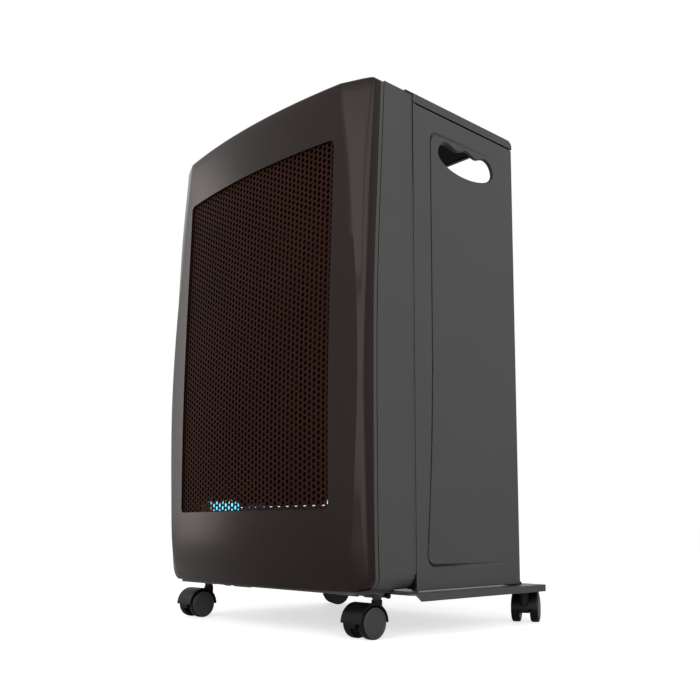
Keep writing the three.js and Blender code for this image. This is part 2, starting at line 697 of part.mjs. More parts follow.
function buildDeck() {
  const rear = SEAM_Y - GAP;
  const broadFront = seamY(SECTION_TOP) + GAP;
  const tongueFront = FRONT_Y + DECK_TONGUE_RECESS;
  const outline = polygon([
    [-DECK_HALF, rear], [-DECK_HALF, broadFront], [-DECK_TONGUE_HALF, broadFront],
    [-DECK_TONGUE_HALF, tongueFront], [DECK_TONGUE_HALF, tongueFront],
    [DECK_TONGUE_HALF, broadFront], [DECK_HALF, broadFront], [DECK_HALF, rear],
  ]);
  const plate = prismZ(outline, SECTION_TOP - DECK_SHEET, SECTION_TOP);
  const wellRear = WELL_FRONT_Y + WELL_LENGTH;
  const tub = prismZ(
    roundedRectangle(WELL_LEFT, WELL_RIGHT, WELL_FRONT_Y, wellRear, 8),
    WELL_FLOOR - COVER_WALL, SECTION_TOP - 1, 3,
  );
  const hollow = prismZ(
    roundedRectangle(
      WELL_LEFT + COVER_WALL, WELL_RIGHT - COVER_WALL,
      WELL_FRONT_Y + COVER_WALL, wellRear - COVER_WALL, 6,
    ),
    WELL_FLOOR, SECTION_TOP + 1, 3,
  );
  const groove = box(
    -LID_KNUCKLE_HALF - 2, LID_KNUCKLE_HALF + 2,
    LID_PIN_Y - LID_KNUCKLE_RADIUS - LID_GROOVE_CLEARANCE,
    LID_PIN_Y + LID_KNUCKLE_RADIUS + LID_GROOVE_CLEARANCE,
    LID_PIN_Z - LID_KNUCKLE_RADIUS - LID_GROOVE_CLEARANCE, SECTION_TOP + 1,
  );
  const grooveFloor = box(
    -DECK_HALF, DECK_HALF,
    LID_PIN_Y - LID_KNUCKLE_RADIUS - LID_GROOVE_CLEARANCE - SHEET, rear,
    LID_PIN_Z - LID_KNUCKLE_RADIUS - LID_GROOVE_CLEARANCE - SHEET, SECTION_TOP - 1,
  );
  const pinHole = cylinder(
    'x', [0, LID_PIN_Y, LID_PIN_Z], LID_PIN_RADIUS + PIN_CLEARANCE, 2 * DECK_HALF + 10, 12,
  );
  const spindleHole = cylinder(
    'z', [KNOB_X, WELL_Y, WELL_FLOOR], SPINDLE_RADIUS + PIN_CLEARANCE, 12,
  );
  const buttonHole = cylinder(
    'z', [BUTTON_X, WELL_Y, WELL_FLOOR], BUTTON_RADIUS + GAP, 12, 20,
  );
  const vents = [];
  for (let i = 0; i < VENT_COUNT; i += 1) {
    const x = VENT_FIRST_X + i * VENT_PITCH;
    const slot = roundedRectangle(
      x, x + VENT_WIDTH, WELL_Y - VENT_LENGTH / 2, WELL_Y + VENT_LENGTH / 2, VENT_WIDTH / 2 - 0.01,
    );
    vents.push(prismZ(slot, SECTION_TOP - DECK_SHEET - 1, SECTION_TOP + 1, 1));
  }
  return cut(
    join(plate, tub, grooveFloor), hollow, groove, pinHole, spindleHole, buttonHole, ...vents,
  );
}

addPart('top_deck', buildDeck(), MATERIAL.plastic);

// ---------------------------------------------------------------- controls

function buildKnob() {
  const foot = WELL_FLOOR + KNOB_TRAVEL + GAP;
  const skirt = KNOB_RADIUS;
  const crown = KNOB_RADIUS * 0.86;
  const bore = SPINDLE_RADIUS + GAP;
  const body = turned([
    [0, 0], [skirt, 0], [skirt, 3], [crown, 4.5], [crown * 0.96, KNOB_HEIGHT - 1.5],
    [crown * 0.88, KNOB_HEIGHT], [0, KNOB_HEIGHT],
  ], 24);
  const flutes = [];
  const fluteCount = 10;
  for (let i = 0; i < fluteCount; i += 1) {
    const angle = ((i + 0.5) / fluteCount) * Math.PI * 2;
    const place = [Math.cos(angle) * (crown + 1.4), Math.sin(angle) * (crown + 1.4), KNOB_HEIGHT];
    flutes.push(cylinder('z', place, 2.6, KNOB_HEIGHT * 1.36, 6));
  }
  const pointer = box(-1, 1, -crown * 0.86, -crown * 0.2, KNOB_HEIGHT - 0.8, KNOB_HEIGHT + 1);
  const socket = cylinder('z', [0, 0, 0], bore, 2 * (KNOB_HEIGHT - 4), 16);
  return cut(body, ...flutes, pointer, socket).translate([KNOB_X, WELL_Y, foot]);
}

const VALVE_TOP = WELL_FLOOR - COVER_WALL - GAP;

function buildSpindle() {
  const foot = VALVE_TOP - 6;
  const top = WELL_FLOOR + KNOB_TRAVEL + KNOB_HEIGHT - 4;
  const shaft = cylinder('z', [KNOB_X, WELL_Y, (foot + top) / 2], SPINDLE_RADIUS, top - foot, 16);
  const flat = box(
    KNOB_X + SPINDLE_RADIUS - 1, KNOB_X + SPINDLE_RADIUS + 1, WELL_Y - 5, WELL_Y + 5, top - 8, top + 1,
  );
  return cut(shaft, flat);
}

function buildButton() {
  const foot = WELL_FLOOR - COVER_WALL - BUTTON_TRAVEL - 1;
  const height = WELL_FLOOR + BUTTON_PROUD - foot;
  const cap = turned([
    [0, 0], [BUTTON_RADIUS, 0], [BUTTON_RADIUS, height - 1.5], [BUTTON_RADIUS - 1.5, height],
    [BUTTON_RADIUS - 3, height], [0, height - 0.8],
  ], 20);
  return cap.translate([BUTTON_X, WELL_Y, foot]);
}

const IGNITER_TOP = WELL_FLOOR - COVER_WALL - 2 * BUTTON_TRAVEL - 1 - GAP;

// Striker barrel hanging from the well in a cage that is open at the front and the top.
function buildIgniter() {
  const top = IGNITER_TOP;
  const barrel = cylinder('z', [BUTTON_X, WELL_Y, top - 17], BUTTON_RADIUS + 1, 34, 12);
  const cage = box(
    BUTTON_X - 13, BUTTON_X + 13, WELL_Y - 13, WELL_Y + 13,
    top - 8, WELL_FLOOR - COVER_WALL - GAP,
  );
  const cageHollow = box(
    BUTTON_X - 11, BUTTON_X + 11, WELL_Y - 20, WELL_Y + 11, top - 6, WELL_FLOOR,
  );
  const spade = box(BUTTON_X - 0.5, BUTTON_X + 0.5, WELL_Y - 3, WELL_Y + 3, top - 42, top - 33);
  return join(barrel, cut(cage, cageHollow), spade);
}

const PORT_RISE = 12; // port centres above the valve's underside
const PORT_Z = VALVE_TOP - VALVE_HEIGHT + PORT_RISE;
const OUTLET_X = KNOB_X + 22;
const INLET_PORT_X = KNOB_X - 14;

function buildValve() {
  const bottom = VALVE_TOP - VALVE_HEIGHT;
  const left = KNOB_X - VALVE_WIDTH / 2;
  const front = WELL_Y - VALVE_DEPTH / 2;
  const body = box(left, left + VALVE_WIDTH, front, front + VALVE_DEPTH, bottom, VALVE_TOP - 4);
  const neck = cylinder('z', [KNOB_X, WELL_Y, VALVE_TOP - 3], 11, 6, 20);
  const magnet = cylinder('x', [left - 8, WELL_Y, bottom + PORT_RISE], 9, 18, 16);
  const ports = [OUTLET_X, INLET_PORT_X].map((x) =>
    cylinder('y', [x, front + VALVE_DEPTH + 4, bottom + PORT_RISE], 6, 10, 6));
  const pilotPort = cylinder('y', [left + 10, front - 3, bottom + PORT_RISE], 4.5, 8, 6);
  const bore = cylinder('z', [KNOB_X, WELL_Y, VALVE_TOP - 6], SPINDLE_RADIUS + PIN_CLEARANCE, 18, 16);
  return cut(join(body, neck, magnet, ...ports, pilotPort), bore);
}

addPart('gas_valve', buildValve(), MATERIAL.brass);
addPart('valve_spindle', buildSpindle(), MATERIAL.steel);
addPart('control_knob', buildKnob(), MATERIAL.plastic);
addPart('piezo_igniter', buildIgniter(), MATERIAL.plastic);
addPart('igniter_button', buildButton(), MATERIAL.plastic);

// ---------------------------------------------------------------- firebox

const FIREBOX_SLOPE = Math.atan2(FIREBOX_MOUTH_HALF - FIREBOX_BACK_HALF, FIREBOX_DEPTH);

// The back panel stands on the chassis and carries a pressed rib and a viewing slot.
function buildFireboxBack() {
  const half = FIREBOX_BACK_HALF - GAP;
  const foot = CHASSIS_TOP + GAP;
  const plate = box(
    -half, half, FIREBOX_BACK_Y, FIREBOX_BACK_Y + THIN_SHEET, foot, FIREBOX_TOP - HOOD_DROP - GAP,
  );
  const flange = box(
    -half, half, FIREBOX_BACK_Y, FIREBOX_BACK_Y + FOOT_DEPTH, foot, foot + THIN_SHEET,
  );
  const rib = box(
    -RIB_HALF, RIB_HALF, FIREBOX_BACK_Y - RIB_DEPTH, FIREBOX_BACK_Y + 0.5, RIB_BOTTOM, HEIGHT - RIB_DROP,
  );
  const ribHollow = box(
    -RIB_HALF + THIN_SHEET, RIB_HALF - THIN_SHEET,
    FIREBOX_BACK_Y - RIB_DEPTH + THIN_SHEET, FIREBOX_BACK_Y + 5,
    RIB_BOTTOM + THIN_SHEET, HEIGHT - RIB_DROP - THIN_SHEET,
  );
  const slot = box(
    SLOT_X - 2, SLOT_X + 2, FIREBOX_BACK_Y - 1, FIREBOX_BACK_Y + 5, SLOT_BOTTOM, SLOT_BOTTOM + 40,
  );
  return cut(join(plate, flange, rib), ribHollow, slot);
}

// One splayed wall of the firebox, its mouth flange lying behind the retainer.
function buildFireboxWall() {
  const backX = FIREBOX_BACK_HALF;
  const mouthX = FIREBOX_MOUTH_HALF;
  const mouthFlange = 8;
  const outline = polygon([
    [backX, FIREBOX_BACK_Y + THIN_SHEET + 10], [backX, FIREBOX_BACK_Y],
    [mouthX, FIREBOX_MOUTH_Y], [mouthX + mouthFlange, FIREBOX_MOUTH_Y],
    [mouthX + mouthFlange, FIREBOX_MOUTH_Y + THIN_SHEET], [mouthX + 1, FIREBOX_MOUTH_Y + THIN_SHEET],
    [backX + THIN_SHEET / Math.cos(FIREBOX_SLOPE), FIREBOX_BACK_Y + THIN_SHEET],
    [backX + THIN_SHEET / Math.cos(FIREBOX_SLOPE), FIREBOX_BACK_Y + THIN_SHEET + 10],
  ]);
  return prismZ(outline, FIREBOX_BOTTOM, FIREBOX_TOP - HOOD_DROP - GAP);
}

// Sloped hood over the flames: it rises towards the front and closes the top.
function buildHood() {
  const low = FIREBOX_TOP - HOOD_DROP;
  const knee = low + HOOD_KNEE;
  const lip = FIREBOX_MOUTH_Y - HOOD_LIP;
  const back = FIREBOX_BACK_Y + THIN_SHEET;
  const profile = polygon([
    [back, low], [back, knee], [FIREBOX_MOUTH_Y + 6, FIREBOX_TOP + THIN_SHEET],
    [lip, FIREBOX_TOP + THIN_SHEET], [lip, FIREBOX_TOP], [FIREBOX_MOUTH_Y + 5.4, FIREBOX_TOP],
    [FIREBOX_BACK_Y, knee - 0.6], [FIREBOX_BACK_Y, low],
  ]);
  const panel = prismX(profile, -FIREBOX_MOUTH_HALF, FIREBOX_MOUTH_HALF);
  const cheekOutline = polygon([
    [FIREBOX_BACK_Y, low], [FIREBOX_BACK_Y, knee - 0.2],
    [FIREBOX_MOUTH_Y + 5.7, FIREBOX_TOP + 0.4], [FIREBOX_MOUTH_Y, FIREBOX_TOP + 0.4],
    [FIREBOX_MOUTH_Y, low],
  ]);
  const cheeks = [-FIREBOX_MOUTH_HALF, FIREBOX_MOUTH_HALF - THIN_SHEET].map((x) =>
    prismX(cheekOutline, x, x + THIN_SHEET));
  return join(panel, ...cheeks);
}

addPart('firebox_back', buildFireboxBack(), MATERIAL.reflector);
const fireboxWall = buildFireboxWall();
addPart('firebox_right_wall', fireboxWall, MATERIAL.reflector);
addPart('firebox_left_wall', mirrored(fireboxWall), MATERIAL.reflector);
addPart('firebox_hood', buildHood(), MATERIAL.reflector);

// ---------------------------------------------------------------- burner and gas train

const BURNER_FRONT_Y = FIREBOX_MOUTH_Y + 4;
const BURNER_Y = BURNER_FRONT_Y + BURNER_DEPTH / 2;
const BURNER_BOTTOM = BURNER_TOP - BURNER_HEIGHT;
const BURNER_AXIS_Z = BURNER_BOTTOM + BURNER_HEIGHT / 2;

function buildBurner() {
  const shell = box(
    -BURNER_HALF, BURNER_HALF, BURNER_FRONT_Y, BURNER_FRONT_Y + BURNER_DEPTH,
    BURNER_BOTTOM, BURNER_TOP,
  );
  const hollow = box(
    -BURNER_HALF + THIN_SHEET, BURNER_HALF - THIN_SHEET,
    BURNER_FRONT_Y + THIN_SHEET, BURNER_FRONT_Y + BURNER_DEPTH - THIN_SHEET,
    BURNER_BOTTOM + THIN_SHEET, BURNER_TOP - THIN_SHEET,
  );
  const ports = [];
  for (let i = 0; i < PORT_COUNT; i += 1) {
    const x = (i - (PORT_COUNT - 1) / 2) * PORT_PITCH;
    ports.push(box(
      x - PORT_LENGTH / 2, x + PORT_LENGTH / 2, BURNER_Y - PORT_WIDTH / 2, BURNER_Y + PORT_WIDTH / 2,
      BURNER_TOP - 3, BURNER_TOP + 1,
    ));
  }
  const throat = cylinder(
    'x', [BURNER_HALF, BURNER_Y, BURNER_AXIS_Z], VENTURI_RADIUS - VENTURI_NECK - THIN_SHEET, 8, 16,
  );
  return cut(join(shell, buildVenturi()), cut(hollow, buildVenturi()), throat, ...ports);
}

// Mixing tube welded to the end of the burner, flared where the injector blows in.
function buildVenturi() {
  const length = VENTURI_LENGTH;
  const outer = VENTURI_RADIUS;
  const neck = outer - VENTURI_NECK;
  const wall = THIN_SHEET;
  const tube = turned([
    [neck - wall, 0], [neck, 0], [neck, 8], [outer, length - 6], [outer + 2, length],
    [outer + 2 - wall, length], [outer - wall, length - 6], [neck - wall, 8], [neck - wall, 0],
  ], 16);
  return tube.rotate([0, 90, 0]).translate([BURNER_HALF - THIN_SHEET / 2, BURNER_Y, BURNER_AXIS_Z]);
}

const INJECTOR_X = BURNER_HALF + VENTURI_LENGTH + 2;
const PIPE_DROP_X = SECTION_HALF - PIPE_INSET;
const LEAD_Z = BURNER_BOTTOM - LEAD_DROP;
const INLET_Y = SHIELD_Y - SHEET - 8;
const PILOT_Y = BURNER_FRONT_Y - 9;

function buildInjector() {
  const nozzle = cylinder('x', [INJECTOR_X + 3, BURNER_Y, BURNER_AXIS_Z], 2, 10, 12, 4);
  const nut = cylinder('x', [INJECTOR_X + 9, BURNER_Y, BURNER_AXIS_Z], 6, 6, 6);
  const arm = box(
    INJECTOR_X + 7, INJECTOR_X + 7 + SHEET, BURNER_Y - 8, BURNER_Y + 8,
    SECTION_BOTTOM + COVER_WALL + SHEET + 2 * GAP, BURNER_AXIS_Z + 8,
  );
  return join(nozzle, nut, arm);
}

// Trestle that carries the burner: two posts on one foot, with a seat on each post.
function buildTrestle() {
  const foot = box(
    -TRESTLE_HALF, TRESTLE_HALF, BURNER_Y - 1, BURNER_Y + 15,
    CHASSIS_TOP + GAP, CHASSIS_TOP + GAP + SHEET,
  );
  const posts = [-1, 1].map((side) => {
    const x = side * (TRESTLE_HALF - POST_WIDTH / 2);
    const post = box(
      x - POST_WIDTH / 2, x + POST_WIDTH / 2, BURNER_Y - 1, BURNER_Y - 1 + SHEET,
      CHASSIS_TOP + GAP, BURNER_BOTTOM - GAP,
    );
    const seat = box(
      x - POST_WIDTH / 2, x + POST_WIDTH / 2, BURNER_Y - 1, BURNER_Y + 15,
      BURNER_BOTTOM - GAP - SHEET, BURNER_BOTTOM - GAP,
    );
    return join(post, seat);
  });
  return join(foot, ...posts);
}

function buildPilot() {
  const bottom = BURNER_BOTTOM;
  const half = PILOT_SPACING + 5;
  const rear = BURNER_FRONT_Y - GAP;
  const bracket = join(
    box(PILOT_X - half, PILOT_X + half, rear - SHEET, rear, bottom, bottom + 16),
    box(PILOT_X - half, PILOT_X + half, PILOT_Y - 6, rear, bottom + 14.5, bottom + 16),
  );
  const nozzle = cylinder('z', [PILOT_X, PILOT_Y, bottom + 15], 4.5, 26, 12);
  const hood = box(
    PILOT_X - 4.5, PILOT_X + 4.5, PILOT_Y - 4, PILOT_Y + 8, bottom + 25, bottom + 28,
  );
  const holes = [-PILOT_SPACING, PILOT_SPACING].map((x) =>
    cylinder('z', [PILOT_X + x, PILOT_Y, bottom + 15], INSULATOR_RADIUS + GAP, 8, 10));
  return cut(join(bracket, nozzle, hood), ...holes);
}

function buildElectrode() {
  const x = PILOT_X + PILOT_SPACING;
  const rod = cylinder('z', [x, PILOT_Y, BURNER_BOTTOM + 31], 0.9, 12, 6);
  const insulator = cylinder('z', [x, PILOT_Y, BURNER_BOTTOM + 12], INSULATOR_RADIUS, 28, 10);
  return join(rod, insulator);
}

function buildThermocouple() {
  const x = PILOT_X - PILOT_SPACING;
  const low = BURNER_BOTTOM - 24;
  const probe = cylinder('z', [x, PILOT_Y, BURNER_BOTTOM + 14], INSULATOR_RADIUS, 34, 10);
  const magnetEnd = KNOB_X - VALVE_WIDTH / 2 - 17;
  const lead = pipe([
    [x, PILOT_Y, BURNER_BOTTOM - 1],
    [x, PILOT_Y, low],
    [x, WELL_Y, low],
    [-PIPE_DROP_X, WELL_Y, low],
    [-PIPE_DROP_X, WELL_Y, PORT_Z],
    [magnetEnd - GAP, WELL_Y, PORT_Z],
  ], LEAD_RADIUS, 8, 6);
  return join(probe, lead);
}

function buildPilotPipe() {
  const startX = KNOB_X - VALVE_WIDTH / 2 + 10;
  const startY = WELL_Y - VALVE_DEPTH / 2 - 7 - GAP;
  const runY = startY - 8;
  const dropX = -PIPE_DROP_X + 9;
  const low = BURNER_BOTTOM - 12;
  return pipe([
    [startX, startY, PORT_Z],
    [startX, runY, PORT_Z],
    [dropX, runY, PORT_Z],
    [dropX, runY, low],
    [PILOT_X, runY, low],
    [PILOT_X, PILOT_Y, low],
    [PILOT_X, PILOT_Y, BURNER_BOTTOM + 2 - GAP],
  ], PILOT_PIPE_RADIUS, 4.5, 8);
}

function buildBurnerPipe() {
  const startY = WELL_Y + VALVE_DEPTH / 2 + 9 + GAP;
  return pipe([
    [OUTLET_X, startY, PORT_Z],
    [OUTLET_X, INLET_Y, PORT_Z],
    [PIPE_DROP_X, INLET_Y, PORT_Z],
    [PIPE_DROP_X, INLET_Y, BURNER_AXIS_Z],
    [PIPE_DROP_X, BURNER_Y, BURNER_AXIS_Z],
    [INJECTOR_X + 12 + GAP, BURNER_Y, BURNER_AXIS_Z],
  ], GAS_PIPE_RADIUS, 7, 8);
}

// Hose nozzle in the shield's window, pointing down so that the hose hangs from it.
function buildHoseInlet() {
  const ribs = [[0, 0], [2.6, 0], [4, 5], [3.2, 5], [4.4, 10], [3.6, 10], [4.6, 16], [3.8, 16]];
  const tail = turned([...ribs, [3.8, 22], [6.5, 22], [6.5, 30], [0, 30]], 12);
  const block = box(-9, 9, -6, 7, 30, 40);
  const bracket = box(
    -INLET_WINDOW_HALF - 6, INLET_WINDOW_HALF + 6, 6, 7.6, 30, 40,
  );
  return join(tail, block, bracket).translate([INLET_X, INLET_Y, INLET_BOTTOM]);
}

function buildInletPipe() {
  const top = INLET_BOTTOM + 40 + GAP;
  const startY = WELL_Y + VALVE_DEPTH / 2 + 9 + GAP;
  return pipe([
    [INLET_PORT_X, startY, PORT_Z],
    [INLET_PORT_X, INLET_Y, PORT_Z],
    [INLET_PORT_X, INLET_Y, PORT_Z - 24],
    [INLET_X, INLET_Y, top + 26],
    [INLET_X, INLET_Y, top],
  ], GAS_PIPE_RADIUS, 6, 8);
}

function buildIgnitionLead() {
  const spade = IGNITER_TOP - 42;
  const rearY = WELL_Y + 15;
  const dropX = -PIPE_DROP_X + 18;
  const electrodeX = PILOT_X + PILOT_SPACING;
  return pipe([
    [BUTTON_X, WELL_Y, spade - GAP],
    [BUTTON_X, WELL_Y, spade - 13],
    [BUTTON_X, rearY, spade - 13],
    [dropX, rearY, spade - 13],
    [dropX, rearY, LEAD_Z],
    [dropX, PILOT_Y + 18, LEAD_Z],
    [electrodeX, PILOT_Y + 18, LEAD_Z],
    [electrodeX, PILOT_Y, LEAD_Z],
    [electrodeX, PILOT_Y, BURNER_BOTTOM - 2 - GAP],
  ], LEAD_RADIUS, 6, 6);
}

addPart('burner', buildBurner(), MATERIAL.burner);
addPart('injector', buildInjector(), MATERIAL.brass);
addPart('burner_trestle', buildTrestle(), MATERIAL.steel);
addPart('pilot_burner', buildPilot(), MATERIAL.brass);
addPart('spark_electrode', buildElectrode(), MATERIAL.ceramic);
addPart('thermocouple', buildThermocouple(), MATERIAL.brass);
addPart('pilot_pipe', buildPilotPipe(), MATERIAL.steel);
addPart('burner_pipe', buildBurnerPipe(), MATERIAL.steel);
addPart('inlet_pipe', buildInletPipe(), MATERIAL.steel);
addPart('hose_inlet', buildHoseInlet(), MATERIAL.brass);
addPart('ignition_lead', buildIgnitionLead(), MATERIAL.plastic);

// ---------------------------------------------------------------- rear heat shield

// An ear with a pivot pin for each wing, level with the given face of the wing.
function buildPivotEars(front, z0, z1, pinTip) {
  const inner = PIVOT_X - PIVOT_EAR_REACH;
  const outer = PIVOT_X + 1;
  const ear = box(inner, outer, front, PIVOT_Y + PIVOT_RADIUS + 1, z0, z1);
  const middle = (z0 + z1) / 2;
  const pin = cylinder(
    'z', [PIVOT_X, PIVOT_Y, (middle + pinTip) / 2], PIVOT_RADIUS, Math.abs(pinTip - middle), 12,
  );
  return [join(ear, pin), mirrored(join(ear, pin))];
}

function buildShield() {
  const half = SECTION_HALF - SHEET - GAP;
  const bottom = SECTION_BOTTOM + SHEET + GAP;
  const top = SECTION_TOP - DECK_SHEET - GAP - 6;
  const outline = polygon([
    [-half + BOTTOM_RADIUS, bottom], [half - BOTTOM_RADIUS, bottom],
    [half, bottom + BOTTOM_RADIUS], [half, top], [-half, top], [-half, bottom + BOTTOM_RADIUS],
  ]);
  const plate = prismY(outline, SHIELD_Y - SHEET, SHIELD_Y);
  const flanges = [-1, 1].map((side) => {
    const x0 = side > 0 ? half - SHEET : -half;
    return box(
      x0, x0 + SHEET, SHIELD_Y - SHIELD_FLANGE, SHIELD_Y, bottom + BOTTOM_RADIUS, top,
    );
  });
  const topFlange = box(-half, half, SHIELD_Y - SHIELD_FLANGE, SHIELD_Y, top - SHEET, top);
  const window = prismY(
    roundedRectangle(
      INLET_X - INLET_WINDOW_HALF, INLET_X + INLET_WINDOW_HALF,
      INLET_BOTTOM - 34, INLET_BOTTOM - 34 + INLET_WINDOW_HEIGHT, 6,
    ),
    SHIELD_Y - SHIELD_FLANGE, SHIELD_Y + 1, 3,
  );
  const louvres = [];
  for (let column = -1; column <= 1; column += 2) {
    for (let i = 0; i < LOUVRE_COUNT; i += 1) {
      const x = column * (LOUVRE_HALF + 14) - 20;
      const z = 150 + i * LOUVRE_PITCH;
      louvres.push(prismY(
        roundedRectangle(
          x - LOUVRE_HALF, x + LOUVRE_HALF, z, z + LOUVRE_HEIGHT, LOUVRE_HEIGHT / 2 - 0.01,
        ),
        SHIELD_Y - SHIELD_FLANGE, SHIELD_Y + 1, 1,
      ));
    }
  }
  const ears = buildPivotEars(
    SHIELD_Y - 0.5, WING_TOP + GAP, WING_TOP + GAP + PIVOT_EAR, WING_TOP - PIVOT_PIN,
  );
  return join(cut(join(plate, ...flanges, topFlange), window, ...louvres), ...ears);
}

addPart('rear_heat_shield', buildShield(), MATERIAL.chassis);

// ---------------------------------------------------------------- wings

const RECESS_TAPER = RECESS_REAR - RECESS_FRONT_TOP;
const recessDepthAt = (y) => (RECESS_DEPTH * (SEAM_Y + RECESS_REAR - y)) / RECESS_TAPER;

function recessOutline(grow) {
  const front = SEAM_Y + RECESS_FRONT_TOP - grow;
  const lowFront = SEAM_Y + RECESS_FRONT_BOTTOM - grow;
  const rear = SEAM_Y + RECESS_REAR;
  const top = HEIGHT - RECESS_DROP + grow;
  const bottom = RECESS_BOTTOM - grow;
  const r = RECESS_RADIUS + grow;
  const outline = new THREE.Shape();
  outline.moveTo(rear, bottom);
  outline.lineTo(rear, top);
  outline.lineTo(front + r, top);
  outline.absarc(front + r, top - r, r, Math.PI / 2, Math.PI);
  outline.lineTo(front, RECESS_STEP_Z);
  outline.quadraticCurveTo(front, (RECESS_STEP_Z + bottom) / 2, lowFront, bottom + r);
  outline.absarc(lowFront + r, bottom + r, r, Math.PI, Math.PI * 1.5);
  outline.lineTo(rear, bottom);
  return outline;
}

// Moves the face that stands at x = from inwards by the recess's depth.
function slope(body, from) {
  return body.warp((point) => {
    if (Math.abs(point[0] - from) < 0.01) point[0] -= recessDepthAt(point[1]);
  });
}

// The handle hole: a crowned lower edge, round ends and finger waves along the top.
function gripOutline(grow) {
  const centre = SEAM_Y + GRIP_CENTRE;
  const half = GRIP_HALF + grow;
  const bottom = GRIP_BOTTOM - grow;
  const top = GRIP_TOP + grow;
  const end = (top - bottom) / 2;
  const points = [];
  const steps = 5;
  for (let i = 0; i <= steps; i += 1) {
    const angle = -Math.PI / 2 + (Math.PI * i) / steps;
    points.push([centre + half - end + end * Math.cos(angle), bottom + end + end * Math.sin(angle)]);
  }
  const waveSteps = 12;
  for (let i = 1; i < waveSteps; i += 1) {
    const share = i / waveSteps;
    const y = centre + (half - end) * (1 - 2 * share);
    points.push([y, top - GRIP_WAVE * Math.sin(2 * Math.PI * share) ** 2]);
  }
  for (let i = 0; i <= steps; i += 1) {
    const angle = Math.PI / 2 + (Math.PI * i) / steps;
    points.push([centre - half + end + end * Math.cos(angle), bottom + end + end * Math.sin(angle)]);
  }
  const sagSteps = 6;
  for (let i = 1; i < sagSteps; i += 1) {
    const share = i / sagSteps;
    points.push([
      centre - (half - end) * (1 - 2 * share),
      bottom - GRIP_SAG * Math.sin(Math.PI * share),
    ]);
  }
  return polygon(points);
}

const WING_FACE = CABINET_HALF;
const WING_INNER = CABINET_HALF - SHEET;

function buildWing() {
  const skin = box(WING_INNER, WING_FACE, SEAM_Y + GAP, WING_REAR_Y, WING_BOTTOM, WING_TOP);
  const flangeX = WING_FACE - WING_FLANGE - SHEET;
  const flangeFront = PIVOT_Y - PIVOT_INSET + GAP;
  const levels = [WING_BOTTOM, WING_TOP - SHEET];
  const corners = levels.map((z) =>
    box(flangeX - 1, PIVOT_X, flangeFront - 1, PIVOT_Y - GAP, z - 1, z + SHEET + 1));
  const eyes = levels.map((z) =>
    cylinder('z', [PIVOT_X, PIVOT_Y, z + SHEET / 2], PIVOT_INSET - GAP, SHEET, 16));
  const flanges = [
    box(flangeX, WING_FACE, flangeFront, WING_REAR_Y, WING_BOTTOM, WING_BOTTOM + SHEET),
    box(flangeX, WING_FACE, flangeFront, WING_REAR_Y, WING_TOP - SHEET, WING_TOP),
    box(flangeX, WING_FACE, WING_REAR_Y - SHEET, WING_REAR_Y, WING_BOTTOM, WING_TOP),
    box(
      flangeX, flangeX + SHEET, WING_REAR_Y - WING_REAR_LIP, WING_REAR_Y, WING_BOTTOM, WING_TOP,
    ),
  ];
  const bulge = slope(
    prismX(recessOutline(SHEET), WING_INNER - 0.2, WING_INNER + 0.5), WING_INNER - 0.2,
  );
  const pressed = slope(
    prismX(recessOutline(0), WING_FACE + 0.02, WING_FACE + 2), WING_FACE + 0.02,
  );
  const grip = prismX(gripOutline(0), WING_FACE - 20, WING_FACE + 5);
  const bores = [WING_BOTTOM, WING_TOP].map((z) =>
    cylinder('z', [PIVOT_X, PIVOT_Y, z], PIVOT_RADIUS + PIN_CLEARANCE, 8, 12));
  const sheet = join(cut(join(skin, ...flanges), ...corners), bulge, ...eyes);
  return cut(sheet, pressed, grip, ...bores);
}

// Moulded liner of the handle hole: a sleeve with a flange behind the sheet.
function buildGrip() {
  const outer = WING_FACE - RECESS_DEPTH + 0.6;
  const inner = WING_INNER - RECESS_DEPTH - GRIP_INWARD;
  const flangeFace = WING_INNER - RECESS_DEPTH - 2 * GAP;
  const sleeve = prismX(gripOutline(-GAP), inner, outer);
  const flange = prismX(gripOutline(GRIP_LIP), flangeFace - 2, flangeFace);
  const hole = prismX(gripOutline(-GAP - GRIP_LINER), inner - 5, outer + 5);
  return cut(join(sleeve, flange), hole);
}

const wing = buildWing();
const grip = buildGrip();
addPart('right_wing', wing, MATERIAL.cabinet);
addPart('left_wing', mirrored(wing), MATERIAL.cabinet);
addPart('right_grip', grip, MATERIAL.grip);
addPart('left_grip', mirrored(grip), MATERIAL.grip);

// ---------------------------------------------------------------- lid

